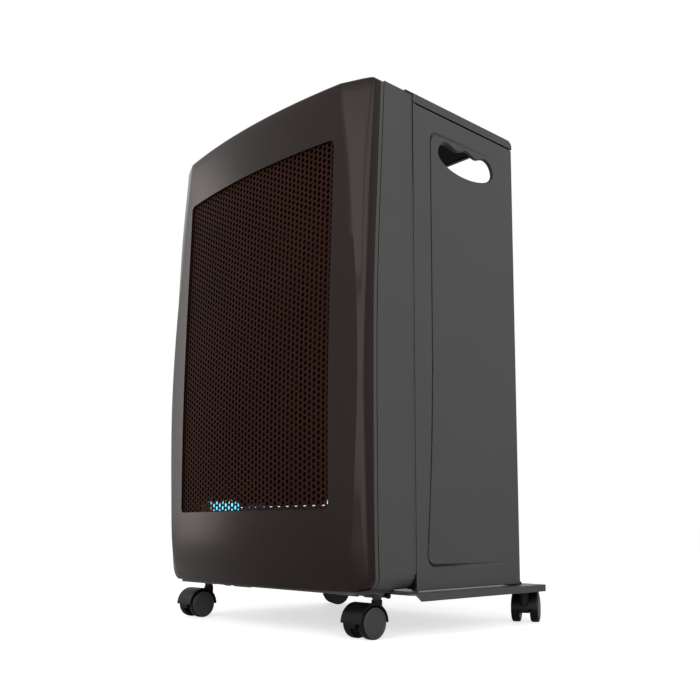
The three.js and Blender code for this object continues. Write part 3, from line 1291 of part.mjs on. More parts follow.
function buildLid() {
  const rear = WING_REAR_Y + GAP + LID_SHEET;
  const front = LID_PIN_Y + 2;
  const sideProfile = new THREE.Shape();
  sideProfile.moveTo(SEAM_Y + GAP, SKIRT_BOTTOM);
  sideProfile.lineTo(rear, SKIRT_BOTTOM);
  sideProfile.lineTo(rear, HEIGHT - LID_CORNER_RADIUS);
  sideProfile.absarc(
    rear - LID_CORNER_RADIUS, HEIGHT - LID_CORNER_RADIUS, LID_CORNER_RADIUS, 0, Math.PI / 2,
  );
  sideProfile.lineTo(SEAM_Y + GAP, HEIGHT);
  const pan = prismX(sideProfile, -CABINET_HALF, CABINET_HALF, 4);
  const innerRadius = LID_CORNER_RADIUS - LID_SHEET;
  const hollowProfile = new THREE.Shape();
  const ceiling = HEIGHT - LID_SHEET;
  hollowProfile.moveTo(SEAM_Y - 5, SKIRT_BOTTOM - 5);
  hollowProfile.lineTo(rear - LID_SHEET, SKIRT_BOTTOM - 5);
  hollowProfile.lineTo(rear - LID_SHEET, ceiling - innerRadius);
  hollowProfile.absarc(
    rear - LID_SHEET - innerRadius, ceiling - innerRadius, innerRadius, 0, Math.PI / 2,
  );
  hollowProfile.lineTo(SEAM_Y - 5, ceiling);
  const hollow = prismX(hollowProfile, -CABINET_HALF + SHEET, CABINET_HALF - SHEET, 4);
  const strip = box(-CABINET_HALF, CABINET_HALF, front, SEAM_Y + 4, ceiling, HEIGHT);
  const leaf = box(-LID_KNUCKLE_HALF, LID_KNUCKLE_HALF, LID_PIN_Y, front + 1, ceiling, HEIGHT);
  const knuckle = cylinder(
    'x', [0, LID_PIN_Y, LID_PIN_Z], LID_KNUCKLE_RADIUS, 2 * LID_KNUCKLE_HALF, 12,
  );
  const bore = cylinder(
    'x', [0, LID_PIN_Y, LID_PIN_Z], LID_PIN_RADIUS + PIN_CLEARANCE, 2 * LID_KNUCKLE_HALF + 4, 12,
  );
  return cut(join(cut(pan, hollow), strip, leaf, knuckle), bore);
}

function buildLidPin() {
  return cylinder('x', [0, LID_PIN_Y, LID_PIN_Z], LID_PIN_RADIUS, 2 * DECK_HALF - 1, 10);
}

addPart('lid', buildLid(), MATERIAL.cabinet);
addPart('lid_pin', buildLidPin(), MATERIAL.steel);

// ---------------------------------------------------------------- chassis and tray

const ROD_Y = SEAM_Y - TRAY_FRONT_LAP - ROD_RADIUS - SHEET;
const ROD_Z = TRAY_TOP - ROD_RADIUS - SHEET;

const AXLE_Z = WHEEL_RADIUS;
const BOSS_TOP = AXLE_Z + HOOD_RADIUS + 2;
const FRONT_CASTER_Y = FRONT_Y + FRONT_CASTER_RECESS;
const REAR_CASTER_Y = TRAY_REAR_Y - REAR_CASTER_INSET;
const CASTERS = [
  { name: 'front_right', x: FRONT_CASTER_X, y: FRONT_CASTER_Y, front: true, yaw: 180 },
  { name: 'front_left', x: -FRONT_CASTER_X, y: FRONT_CASTER_Y, front: true, yaw: 180 },
  { name: 'rear_right', x: REAR_CASTER_X, y: REAR_CASTER_Y, front: false, yaw: REAR_CASTER_YAW },
  { name: 'rear_left', x: -REAR_CASTER_X, y: REAR_CASTER_Y, front: false, yaw: -REAR_CASTER_YAW },
];

// Funnel-shaped tubes under a sheet, one for each caster's stem.
function buildSockets(casters, sheetBottom) {
  const bottom = BOSS_TOP + 2 + 2 * GAP;
  const height = sheetBottom + 0.5 - bottom;
  const bore = STEM_RADIUS + PIN_CLEARANCE;
  const socket = turned([
    [bore, 0], [SOCKET_FOOT_RADIUS, 0], [SOCKET_RADIUS, height * 0.8], [SOCKET_RADIUS, height],
    [bore, height], [bore, 0],
  ], 16);
  return casters.map((caster) => socket.translate([caster.x, caster.y, bottom]));
}

function buildChassis() {
  const front = FRONT_Y + CHASSIS_FRONT_RECESS;
  const rear = SHIELD_Y;
  const outline = roundedRectangle(-CHASSIS_HALF, CHASSIS_HALF, front, rear, 10);
  const plate = prismZ(outline, CHASSIS_BOTTOM, CHASSIS_TOP, 3);
  const lugs = [-1, 1].map((side) => {
    const x = side * (KNUCKLE_OFFSET + KNUCKLE_LENGTH);
    const tube = cylinder('x', [x, ROD_Y, ROD_Z], ROD_RADIUS + SHEET, 12, 12);
    const neck = box(x - 6, x + 6, ROD_Y - 2, ROD_Y + 2, ROD_Z, CHASSIS_BOTTOM + 1);
    return join(tube, neck);
  });
  const rodBore = cylinder('x', [0, ROD_Y, ROD_Z], ROD_RADIUS + PIN_CLEARANCE, 3 * ROD_HALF, 12);
  const ears = buildPivotEars(
    SHIELD_Y - 6, CHASSIS_BOTTOM, WING_BOTTOM - GAP, WING_BOTTOM + PIVOT_PIN,
  );
  const arms = [-1, 1].map((side) =>
    box(
      ...[side * (CHASSIS_HALF - 13), side * (PIVOT_X - 5)].sort((a, b) => a - b),
      SHIELD_Y - 16, SHIELD_Y, CHASSIS_BOTTOM, WING_BOTTOM - GAP,
    ));
  const socketPlaces = CASTERS.filter((caster) => caster.front);
  return join(
    plate, cut(join(...lugs), rodBore), ...ears, ...arms,
    ...buildSockets(socketPlaces, CHASSIS_BOTTOM),
  );
}

function trayOutline(inset, Type = THREE.Shape) {
  const half = TRAY_HALF - inset;
  const rear = TRAY_REAR_Y - inset;
  const front = SEAM_Y - TRAY_FRONT_LAP;
  const r = TRAY_CORNER_RADIUS;
  const outline = new Type();
  outline.moveTo(-half + r, front);
  outline.lineTo(half - r, front);
  outline.absarc(half - r, front + r, r, -Math.PI / 2, 0);
  outline.lineTo(half, rear - 2);
  outline.lineTo(half - 2, rear);
  outline.lineTo(-half + 2, rear);
  outline.lineTo(-half, rear - 2);
  outline.lineTo(-half, front + r);
  outline.absarc(-half + r, front + r, r, Math.PI, Math.PI * 1.5);
  return outline;
}

function buildTray() {
  const plate = prismZ(trayOutline(0), TRAY_UNDERSIDE, TRAY_TOP, 4);
  const rimBottom = TRAY_TOP - TRAY_RIM;
  const rim = cut(
    prismZ(trayOutline(0), rimBottom, TRAY_TOP - 1, 4),
    prismZ(trayOutline(TRAY_SHEET), rimBottom - 1, TRAY_UNDERSIDE, 4),
  );
  const rimStart = SEAM_Y - TRAY_RIM_START;
  const slant = prismX(
    polygon([
      [SEAM_Y - TRAY_FRONT_LAP - 5, rimBottom - 5], [rimStart + TRAY_RIM_CUT, rimBottom - 5],
      [rimStart + TRAY_RIM_CUT, rimBottom], [rimStart, TRAY_UNDERSIDE],
      [SEAM_Y - TRAY_FRONT_LAP - 5, TRAY_UNDERSIDE],
    ]),
    -TRAY_HALF - 5, TRAY_HALF + 5,
  );
  const knuckles = [-1, 1].map((side) =>
    cylinder(
      'x', [side * KNUCKLE_OFFSET, ROD_Y, ROD_Z], ROD_RADIUS + SHEET, KNUCKLE_LENGTH, 12,
    ));
  const tongues = [-1, 1].map((side) =>
    box(
      side * KNUCKLE_OFFSET - KNUCKLE_LENGTH / 2, side * KNUCKLE_OFFSET + KNUCKLE_LENGTH / 2,
      ROD_Y, SEAM_Y - TRAY_FRONT_LAP + 1, TRAY_UNDERSIDE, TRAY_TOP,
    ));
  const rodBore = cylinder('x', [0, ROD_Y, ROD_Z], ROD_RADIUS + PIN_CLEARANCE, 3 * ROD_HALF, 12);
  const socketPlaces = CASTERS.filter((caster) => !caster.front);
  return join(
    cut(join(plate, rim), slant), cut(join(...knuckles, ...tongues), rodBore),
    ...buildSockets(socketPlaces, TRAY_UNDERSIDE),
  );
}

function buildRod() {
  const rod = cylinder('x', [0, ROD_Y, ROD_Z], ROD_RADIUS, 2 * ROD_HALF, 12);
  const ends = [-1, 1].map((side) =>
    cylinder('x', [side * (ROD_HALF + 1.5), ROD_Y, ROD_Z], ROD_END_RADIUS, 4, 12));
  return join(rod, ...ends);
}

// Low catch on the tray that the opened wing stops against.
function buildCatch() {
  const x = WING_FACE - CATCH_WIDTH;
  const rear = WING_REAR_Y + GAP;
  const foot = TRAY_TOP + GAP;
  const pad = box(
    x - CATCH_WIDTH / 2, x + CATCH_WIDTH / 2, rear - 10, rear + CATCH_LENGTH, foot, foot + CATCH_PAD,
  );
  const stop = box(
    x - CATCH_WIDTH / 2, x + CATCH_WIDTH / 2, rear, rear + CATCH_LENGTH, foot, foot + CATCH_STOP,
  );
  return join(pad, stop);
}

addPart('chassis_base', buildChassis(), MATERIAL.chassis);
addPart('tray', buildTray(), MATERIAL.chassis);
addPart('tray_hinge_rod', buildRod(), MATERIAL.steel);
addPart('right_wing_catch', buildCatch(), MATERIAL.plastic);
addPart('left_wing_catch', mirrored(buildCatch()), MATERIAL.plastic);

// ---------------------------------------------------------------- casters

// Caster pieces stand with the swivel axis on X = Y = 0 and the axle TRAIL behind it (+Y).
function buildHoodMoulding() {
  const arch = new THREE.Shape();
  arch.absarc(0, 0, HOOD_RADIUS, 0, Math.PI);
  arch.absarc(0, 0, HOOD_RADIUS - HOOD_WALL, Math.PI, 0, true);
  const fender = prismX(arch, -HOOD_WIDTH / 2, HOOD_WIDTH / 2, 6);
  const web = new THREE.Shape();
  web.absarc(0, 0, HOOD_RADIUS - HOOD_WALL / 2, -0.25, Math.PI + 0.25);
  const core = prismX(web, -WEB_WIDTH / 2, WEB_WIDTH / 2, 6);
  const wheelPart = join(fender, core).translate([0, TRAIL, AXLE_Z]);
  const boss = cylinder(
    'z', [0, 0, (AXLE_Z + BOSS_TOP) / 2 - 4], BOSS_RADIUS, BOSS_TOP - AXLE_Z + 8, 12,
  );
  const wheelRoom = [-1, 1].map((side) =>
    cylinder(
      'x', [side * (WEB_WIDTH / 2 + WHEEL_WIDTH), TRAIL, AXLE_Z],
      HOOD_RADIUS - HOOD_WALL, 2 * WHEEL_WIDTH, 14,
    ));
  const axleBore = cylinder(
    'x', [0, TRAIL, AXLE_Z], AXLE_RADIUS + PIN_CLEARANCE, HOOD_WIDTH + 4, 12,
  );
  const stemBore = cylinder('z', [0, 0, BOSS_TOP], STEM_RADIUS + GAP, 36, 12);
  return cut(join(wheelPart, cut(boss, ...wheelRoom)), axleBore, stemBore);
}

function buildStem(sheetBottom) {
  const bottom = BOSS_TOP - 18 + GAP;
  const top = sheetBottom - GAP;
  const pin = cylinder('z', [0, 0, (bottom + top) / 2], STEM_RADIUS, top - bottom, 12);
  const collar = cylinder('z', [0, 0, BOSS_TOP + GAP + 1], STEM_RADIUS + 2, 2, 12);
  return join(pin, collar);
}

function buildWheel(side) {
  const half = WHEEL_WIDTH / 2;
  const rim = WHEEL_RADIUS;
  const bore = AXLE_RADIUS + PIN_CLEARANCE;
  const wheel = turned([
    [bore, -half], [rim - 2.5, -half], [rim, -half + 2], [rim, half - 1.5], [rim - 1.5, half],
    [bore, half], [bore, -half],
  ], 16);
  const turn = side > 0 ? [0, 90, 0] : [0, -90, 0];
  const x = side * (CASTER_WIDTH / 2 - half);
  return wheel.rotate(turn).translate([x, TRAIL, AXLE_Z]);
}

function buildAxle() {
  return cylinder('x', [0, TRAIL, AXLE_Z], AXLE_RADIUS, CASTER_WIDTH - 0.6, 12);
}

const HOOD_MOULDING = buildHoodMoulding();
const WHEELS = { left: buildWheel(-1), right: buildWheel(1) };
const AXLE = buildAxle();

for (const caster of CASTERS) {
  const group = new THREE.Group();
  group.position.set(caster.x, caster.y, 0);
  group.rotation.z = THREE.MathUtils.degToRad(caster.yaw);
  model.add(group);
  addPart(`${caster.name}_caster_hood`, HOOD_MOULDING, MATERIAL.plastic, group);
  addPart(`${caster.name}_caster_stem`, buildStem(caster.front ? CHASSIS_BOTTOM : TRAY_UNDERSIDE), MATERIAL.steel, group);
  addPart(`${caster.name}_caster_axle`, AXLE, MATERIAL.steel, group);
  addPart(`${caster.name}_left_wheel`, WHEELS.left, MATERIAL.wheel, group);
  addPart(`${caster.name}_right_wheel`, WHEELS.right, MATERIAL.wheel, group);
}

export default model;
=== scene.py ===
"""Portable gas cabinet heater: camera, studio, finishes and fine pieces round the CAD frame."""

import json
import math

import bmesh
import bpy
from mathutils import Matrix, Vector


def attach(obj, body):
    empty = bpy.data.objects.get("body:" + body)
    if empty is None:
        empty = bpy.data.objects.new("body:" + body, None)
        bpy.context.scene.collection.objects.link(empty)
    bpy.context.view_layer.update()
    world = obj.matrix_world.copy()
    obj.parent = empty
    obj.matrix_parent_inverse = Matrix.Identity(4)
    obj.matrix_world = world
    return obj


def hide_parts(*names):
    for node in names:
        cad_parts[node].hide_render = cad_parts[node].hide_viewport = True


MM = 0.001

# CAD dimensions repeated from the part, in millimetres
FRONT_Y = -202.4
SEAM_Y = -82.2
SECTION_HALF = 223
SECTION_BOTTOM = 60
SECTION_TOP = 733
SECTION_HEIGHT = SECTION_TOP - SECTION_BOTTOM
BOTTOM_RADIUS = 20
TOP_RADIUS = 4.5
COVER_WALL = 2
BOW_RADIUS = 1150
FACET_SHARE = 0.55
GAP = 0.3
# The cover's section at shares of its height: how far the crease lies in from the side, how far
# the front, the rear edge and the knee lie behind the fullest point, and the flat band's width.
STATIONS = {
    "at": (0, 0.06, 0.178, 0.394, 0.58, 0.8, 1),
    "crease": (26.5, 18, 11.5, 5.6, 10, 26, 43),
    "bow": (9.7, 2.2, 0.3, 0, 2.7, 7.7, 11.7),
    "seam": (53.2, 51.2, 50, 49.5, 50.9, 58, 65.2),
    "band": (11, 9, 7, 6, 7, 12, 17),
    "knee": (31.5, 31.5, 31.5, 31.5, 31.5, 34, 45),
}
WINDOW_HALF, WINDOW_BOTTOM, WINDOW_TOP = 171, 162.4, 654.7
GUARD_BEHIND = 2.9
BURNER_TOP = 168

# Sheets that are joined reach this far into each other, in millimetres.
OVERLAP = 0.2

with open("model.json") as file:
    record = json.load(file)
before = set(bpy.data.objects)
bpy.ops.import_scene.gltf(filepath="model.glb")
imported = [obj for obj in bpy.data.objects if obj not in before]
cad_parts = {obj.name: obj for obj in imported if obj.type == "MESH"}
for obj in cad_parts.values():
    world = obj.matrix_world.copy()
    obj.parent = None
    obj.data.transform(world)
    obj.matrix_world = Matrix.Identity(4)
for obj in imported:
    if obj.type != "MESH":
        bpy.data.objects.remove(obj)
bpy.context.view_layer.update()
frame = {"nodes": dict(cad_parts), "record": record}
nodes = frame["nodes"]
scene = bpy.context.scene


# ---------------------------------------------------------------- helpers for shaders

def linear(code):
    """An sRGB colour written as 0xrrggbb, as the linear colour that the shader takes."""
    channels = [((code >> shift) & 255) / 255 for shift in (16, 8, 0)]
    curve = [c / 12.92 if c <= 0.04045 else ((c + 0.055) / 1.055) ** 2.4 for c in channels]
    return (*curve, 1)


def combine(tree, operation, first, second):
    """Two values put together by a math node."""
    node = tree.nodes.new("ShaderNodeMath")
    node.operation = operation
    tree.links.new(first, node.inputs[0])
    tree.links.new(second, node.inputs[1])
    return node.outputs[0]


def remap(tree, value, start, end, low=0, high=1):
    """A value's range from start to end, drawn out to low to high."""
    node = tree.nodes.new("ShaderNodeMapRange")
    node.inputs["From Min"].default_value = start
    node.inputs["From Max"].default_value = end
    node.inputs["To Min"].default_value = low
    node.inputs["To Max"].default_value = high
    tree.links.new(value, node.inputs["Value"])
    return node.outputs["Result"]


def blend(tree, amount, colour, tone):
    """A colour with a flat tone laid over it by an amount."""
    mix = tree.nodes.new("ShaderNodeMix")
    mix.data_type = "RGBA"
    mix.inputs[7].default_value = linear(tone)
    tree.links.new(amount, mix.inputs[0])
    tree.links.new(colour, mix.inputs[6])
    return mix.outputs[2]


# ---------------------------------------------------------------- helpers for objects

def new_object(name, data):
    made = bpy.data.objects.new(name, data)
    scene.collection.objects.link(made)
    return made


def new_mesh(name, points, faces):
    """A mesh from points in millimetres."""
    mesh = bpy.data.meshes.new(name)
    mesh.from_pydata([[c * MM for c in point] for point in points], [], faces)
    return mesh


def piece(name, points, faces, material, body, replaced=()):
    """A new piece from points in millimetres, riding on a body."""
    mesh = new_mesh(name, points, faces)
    mesh.validate()
    made = new_object(name, mesh)
    mesh.materials.append(material)
    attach(made, body)
    if replaced:
        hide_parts(*replaced)
    return made


def temporary(points, faces):
    """A closed shell from points in millimetres, with its faces turned outwards."""
    mesh = new_mesh("tool", points, faces)
    shell = bmesh.new()
    shell.from_mesh(mesh)
    if shell.calc_volume(signed=True) < 0:
        bmesh.ops.reverse_faces(shell, faces=shell.faces)
    shell.to_mesh(mesh)
    shell.free()
    return new_object("tool", mesh)


def prism(outline, axis, start, end):
    """An outline pulled along an axis; the outline holds the other two axes in order."""
    along = "xyz".index(axis)
    first, second = (i for i in range(3) if i != along)
    points = []
    for level in (start, end):
        for u, v in outline:
            point = [0, 0, 0]
            point[along], point[first], point[second] = level, u, v
            points.append(point)
    count = len(outline)
    faces = [list(range(count))[::-1], list(range(count, 2 * count))]
    for i in range(count):
        j = (i + 1) % count
        faces.append([i, j, count + j, count + i])
    return temporary(points, faces)


def block(x0, x1, y0, y1, z0, z1):
    return prism([(x0, y0), (x1, y0), (x1, y1), (x0, y1)], "z", z0, z1)


def disc(axis, place, radius, start, end, sides=32):
    turns = [2 * math.pi * i / sides for i in range(sides)]
    return prism([(place[0] + radius * math.cos(t), place[1] + radius * math.sin(t))
                  for t in turns], axis, start, end)


def carve(target, tools, operation="DIFFERENCE"):
    """Cuts the tools out of the target, or joins them to it, and uses them up."""
    for tool in tools:
        cutter = target.modifiers.new("cut", "BOOLEAN")
        cutter.operation = operation
        cutter.solver = "EXACT"
        cutter.object = tool
    graph = bpy.context.evaluated_depsgraph_get()
    mesh = bpy.data.meshes.new_from_object(target.evaluated_get(graph))
    target.modifiers.clear()
    target.data = mesh
    for tool in tools:
        bpy.data.objects.remove(tool)
    return target


def merge(name, things, material, flip=False):
    """One mesh from several closed shells, mirrored to the left if asked."""
    joined = bmesh.new()
    for thing in things:
        joined.from_mesh(thing.data)
    if flip:
        bmesh.ops.scale(joined, vec=(-1, 1, 1), verts=joined.verts)
        bmesh.ops.reverse_faces(joined, faces=joined.faces)
    mesh = bpy.data.meshes.new(name)
    joined.to_mesh(mesh)
    joined.free()
    mesh.materials.clear()
    mesh.materials.append(material)
    return new_object(name, mesh)


def smooth(thing, angle):
    """Smooth shading, sharp where faces turn by more than the angle in degrees."""
    thing.data.shade_smooth()
    thing.data.set_sharp_from_angle(angle=math.radians(angle))


def bevel(thing, width, angle):
    """Rounds, by a width in millimetres, the edges that turn by more than the angle."""
    rounding = thing.modifiers.new("edges", "BEVEL")
    rounding.width = width * MM
    rounding.segments = 2
    rounding.limit_method = "ANGLE"
    rounding.angle_limit = math.radians(angle)
    return rounding


def soften(thing, width, angle):
    """Rounded edges that leave the shading of the faces beside them alone."""
    bevel(thing, width, angle).harden_normals = True


def levels(start, end, step):
    """Even steps of about the given size from start up to end, which is left out."""
    count = max(1, round((end - start) / step))
    return [start + (end - start) * i / count for i in range(count)]


# ---------------------------------------------------------------- camera and studio

LENS, SENSOR, SHIFT_UP = 44.471, 36, 0.1143
CLIP_NEAR, CLIP_FAR = 0.05, 60
CAMERA_PLACE = (0.99144, -0.91861, 0.13949)
CAMERA_TILT, CAMERA_TURN = 6.439, 46.894
WORLD_LIGHT, WORLD_SEEN = 0.3, 1
# name, place, target, size, watts and colour
LIGHTS = (
    ("key", (0.62, -2.58, 1.2), (0.1, -0.1, 0.8), (2.2, 2.4), 50, (1, 1, 1)),
    ("side", (2.42, -1.12, 1.15), (0.1, -0.1, 0.8), (2.1, 2.3), 44, (1, 1, 1)),
    ("fill", (-2.4, -1.15, 0.85), (0, -0.1, 0.65), (0.8, 1.9), 8.8, (1, 0.88, 0.85)),
)


def make_camera():
    data = bpy.data.cameras.new("camera")
    data.lens = LENS
    data.sensor_width = SENSOR
    data.shift_y = SHIFT_UP
    data.clip_start = CLIP_NEAR
    data.clip_end = CLIP_FAR
    camera = new_object("camera", data)
    camera.location = CAMERA_PLACE
    camera.rotation_euler = (math.radians(90 + CAMERA_TILT), 0, math.radians(CAMERA_TURN))
    scene.camera = camera


def make_world():
    """White all round: full where it is seen or mirrored, dim as a light."""
    world = bpy.data.worlds.new("studio")
    world.use_nodes = True
    tree = world.node_tree
    tree.nodes.clear()
    output = tree.nodes.new("ShaderNodeOutputWorld")
    mix = tree.nodes.new("ShaderNodeMixShader")
    for place, strength in ((1, WORLD_LIGHT), (2, WORLD_SEEN)):
        white = tree.nodes.new("ShaderNodeBackground")
        white.inputs["Color"].default_value = (1, 1, 1, 1)
        white.inputs["Strength"].default_value = strength
        tree.links.new(white.outputs[0], mix.inputs[place])
    path = tree.nodes.new("ShaderNodeLightPath")
    seen = path.outputs["Is Camera Ray"]
    for ray in ("Is Glossy Ray", "Is Transmission Ray"):
        seen = combine(tree, "MAXIMUM", seen, path.outputs[ray])
    tree.links.new(seen, mix.inputs[0])
    tree.links.new(mix.outputs[0], output.inputs[0])
    scene.world = world


def area_light(name, place, target, size, energy, colour):
    data = bpy.data.lights.new(name, "AREA")
    data.shape = "RECTANGLE"
    data.size, data.size_y = size
    data.energy = energy
    data.color = colour
    light = new_object(name, data)
    light.location = place
    aim = Vector(target) - Vector(place)
    light.rotation_euler = aim.to_track_quat("-Z", "Y").to_euler()


make_camera()
make_world()
for light_row in LIGHTS:
    area_light(*light_row)

scene.view_settings.view_transform = "Standard"


# ---------------------------------------------------------------- finishes

NOISE_LOW, NOISE_HIGH = 0.3, 0.7
SLOW_NOISE, PATCH_NOISE = 9, 60
GRAIN_HEIGHT = 0.0004
WEAR_RADIUS, WEAR_SAMPLES = 0.0009, 4
WEAR_START, WEAR_FULL, WEAR_MOST = 0.97, 0.8, 0.7
# painted shade in seams and creases: how far ambient occlusion looks, its samples, and how far
# it darkens
SHADE_REACH, SHADE_SAMPLES = 0.005, 6
SHADE_START, SHADE_FULL, SHADE_MOST = 0.97, 0.72, 0.9


def noise(tree, place, scale, detail, rough=0.55):
    node = tree.nodes.new("ShaderNodeTexNoise")
    node.inputs["Scale"].default_value = scale
    node.inputs["Detail"].default_value = detail
    node.inputs["Roughness"].default_value = rough
    tree.links.new(place, node.inputs["Vector"])
    return node.outputs["Fac"]


def spread(tree, value, low, high):
    """The middle range of a noise, drawn out to low to high."""
    return remap(tree, value, NOISE_LOW, NOISE_HIGH, low, high)


def two_tone(tree, value, dark, light):
    ramp = tree.nodes.new("ShaderNodeValToRGB")
    stops = ramp.color_ramp.elements
    stops[0].position, stops[1].position = NOISE_LOW, NOISE_HIGH
    stops[0].color, stops[1].color = linear(dark), linear(light)
    tree.links.new(value, ramp.inputs["Fac"])
    return ramp.outputs["Color"]


def worn(tree, place, colour, tone):
    """Rubbed paint along the edges, broken up by noise."""
    flat = tree.nodes.new("ShaderNodeNewGeometry").outputs["Normal"]
    round_edge = tree.nodes.new("ShaderNodeBevel")
    round_edge.samples = WEAR_SAMPLES
    round_edge.inputs["Radius"].default_value = WEAR_RADIUS
    align = tree.nodes.new("ShaderNodeVectorMath")
    align.operation = "DOT_PRODUCT"
    tree.links.new(flat, align.inputs[0])
    tree.links.new(round_edge.outputs[0], align.inputs[1])
    ridge = remap(tree, align.outputs["Value"], WEAR_START, WEAR_FULL)
    patch = spread(tree, noise(tree, place, PATCH_NOISE, 5), 0, WEAR_MOST)
    return blend(tree, combine(tree, "MULTIPLY", ridge, patch), colour, tone)


def painted_crease_shade(tree, colour, tone):
    """Painted shade: the colour darkened in seams and pressed edges, where ambient occlusion
    finds them.
    """
    shade = tree.nodes.new("ShaderNodeAmbientOcclusion")
    shade.samples = SHADE_SAMPLES
    shade.inputs["Distance"].default_value = SHADE_REACH
    depth = remap(tree, shade.outputs["AO"], SHADE_START, SHADE_FULL, 0, SHADE_MOST)
    return blend(tree, depth, colour, tone)


def finish(name, dark, light, rough, grain, bump, metallic=0.0, specular=0.5,
           tint=(1, 1, 1, 1), streak=None, wear=None, crease_shade=None):
    """A surface with slow and fine variation, grain, worn edges and painted shade in its
    creases.
    """
    made = bpy.data.materials.new(name)
    made.use_nodes = True
    tree = made.node_tree
    shader = tree.nodes["Principled BSDF"]
    shader.inputs["Metallic"].default_value = metallic
    shader.inputs["Specular IOR Level"].default_value = specular
    shader.inputs["Specular Tint"].default_value = tint
    place = tree.nodes.new("ShaderNodeTexCoord").outputs["Object"]
    if streak:
        mapping = tree.nodes.new("ShaderNodeMapping")
        mapping.inputs["Scale"].default_value = streak
        tree.links.new(place, mapping.inputs["Vector"])
        place = mapping.outputs["Vector"]
    slow = noise(tree, place, SLOW_NOISE, 3)
    fine = noise(tree, place, grain, 3, 0.6)
    colour = two_tone(tree, slow, dark, light)
    if wear:
        colour = worn(tree, place, colour, wear)
    # painted shade darkens the colour where ambient occlusion finds a crease
    if crease_shade:
        colour = painted_crease_shade(tree, colour, crease_shade)
    tree.links.new(colour, shader.inputs["Base Color"])
    tree.links.new(spread(tree, fine, *rough), shader.inputs["Roughness"])
    relief = tree.nodes.new("ShaderNodeBump")
    relief.inputs["Strength"].default_value = bump
    relief.inputs["Distance"].default_value = GRAIN_HEIGHT
    tree.links.new(fine, relief.inputs["Height"])
    tree.links.new(relief.outputs["Normal"], shader.inputs["Normal"])
    return made


COVER = finish("cover_paint", 0x170f0c, 0x1a120f, (0.2, 0.26), 1400, 0.05, specular=0.165,
               tint=(1, 0.95, 0.92, 1), wear=0x302a27)
# the cabinet's paint carries painted shade in its seams and creases
CABINET = finish("cabinet_paint", 0x404040, 0x424242, (0.4, 0.5), 1400, 0.08, specular=0.2,
                 wear=0x5c5c5c, crease_shade=0x0c0c0c)
GUARD = finish("guard_paint", 0x20100b, 0x26130d, (0.42, 0.55), 900, 0.1, specular=0.035,
               tint=(1, 0.65, 0.55, 1))
CHASSIS = finish("chassis_paint", 0x383838, 0x3f3f3f, (0.38, 0.48), 1400, 0.08, specular=0.3,
                 wear=0x606060)
PLASTIC = finish("black_plastic", 0x070707, 0x0b0b0b, (0.36, 0.5), 2200, 0.16, specular=0.11)
WHEEL = finish("wheel_plastic", 0x303030, 0x363636, (0.42, 0.55), 1800, 0.1, specular=0.25)
GRIP = finish("grip_plastic", 0x2c2c2c, 0x333333, (0.4, 0.55), 2200, 0.16, specular=0.2)
REFLECTOR = finish("reflector_steel", 0x0c0503, 0x110704, (0.5, 0.62), 500, 0.1, specular=0.03,
                   tint=(1, 0.7, 0.6, 1), streak=(1, 1, 6))
STEEL = finish("bright_steel", 0x2b2b2a, 0x373736, (0.35, 0.5), 900, 0.06, metallic=1,
               streak=(1, 8, 1))
BURNER_STEEL = finish("burner_steel", 0x4a443e, 0x5c554d, (0.4, 0.55), 400, 0.15, metallic=0.9)
BRASS = finish("brass", 0x4e3b1f, 0x5c4726, (0.3, 0.45), 700, 0.06, metallic=1)
LEAD = finish("lead_cover", 0x1a1a1a, 0x262626, (0.45, 0.6), 1500, 0.1)
# painted shade for the line along the wings' recess
RECESS_SHADE = finish("crease_paint", 0x181818, 0x1c1c1c, (0.5, 0.6), 1400, 0.08, specular=0.1)
# painted shade for the inside of the lid
LID_SHADE = finish("bare_inside", 0x060606, 0x090909, (0.6, 0.75), 900, 0.1, specular=0.1)
CERAMIC = finish("ceramic", 0xb8b0a2, 0xc8c0b2, (0.3, 0.5), 800, 0.05)

FINISHES = {
    "cover_paint": COVER, "cabinet_paint": CABINET, "guard_paint": GUARD,
    "chassis_paint": CHASSIS, "black_plastic": PLASTIC, "wheel_plastic": WHEEL,
    "grip_plastic": GRIP, "reflector_steel": REFLECTOR, "bright_steel": STEEL,
    "burner_steel": BURNER_STEEL, "brass": BRASS, "lead_cover": LEAD, "ceramic": CERAMIC,
}

SLOTS = {row["node"]: row["material_slot"] for row in frame["record"]["subparts"]}


def finish_of(node):
    """The finish whose slot the record gives to a node."""
    return FINISHES[SLOTS[node]]


def dress_nodes():
    """The record's finish and slightly rounded edges for every CAD node."""
    for name, thing in nodes.items():
        thing.data.materials.clear()
        thing.data.materials.append(finish_of(name))
        bevel(thing, 0.35, 40)


dress_nodes()


# ---------------------------------------------------------------- front cover

# the band in the cabinet's tone along the cover's rear edge
TRIM = 5.5
BOW_STEPS, FACET_STEPS, ROLL_STEPS, CORNER_STEPS = 20, 4, 12, 8
SKIN_STEP, INNER_STEP = 14, 30
FOOT_RISES = (0, 0.5, 1.5, 3, 5, 7.5, 10.5, 14)
HEAD_DROPS = (TOP_RADIUS, 3.2, 2, 1.2, 0.6, 0.2, 0)
INNER_RISES = (COVER_WALL, 5, 10, 15)
WINDOW_RADIUS = 8
WINDOW_CUT = (FRONT_Y - 10, FRONT_Y + 34)
DECK_HOLE_HALF, DECK_HOLE_FRONT = 189.8, FRONT_Y + 36.2
FLOOR_HOLE_HALF, FLOOR_HOLE_FRONT = 178, FRONT_Y + 44
REAR_REACH = 120
SIDE_SKIN = 3


def rounded(u0, u1, v0, v1, radius):
    """A rectangle's outline with round corners."""
    corners = ((u1 - radius, v0 + radius, -90), (u1 - radius, v1 - radius, 0),
               (u0 + radius, v1 - radius, 90), (u0 + radius, v0 + radius, 180))
    outline = []
    for u, v, start in corners:
        for i in range(CORNER_STEPS + 1):
            angle = math.radians(start + 90 * i / CORNER_STEPS)
            outline.append((u + radius * math.cos(angle), v + radius * math.sin(angle)))
    return outline


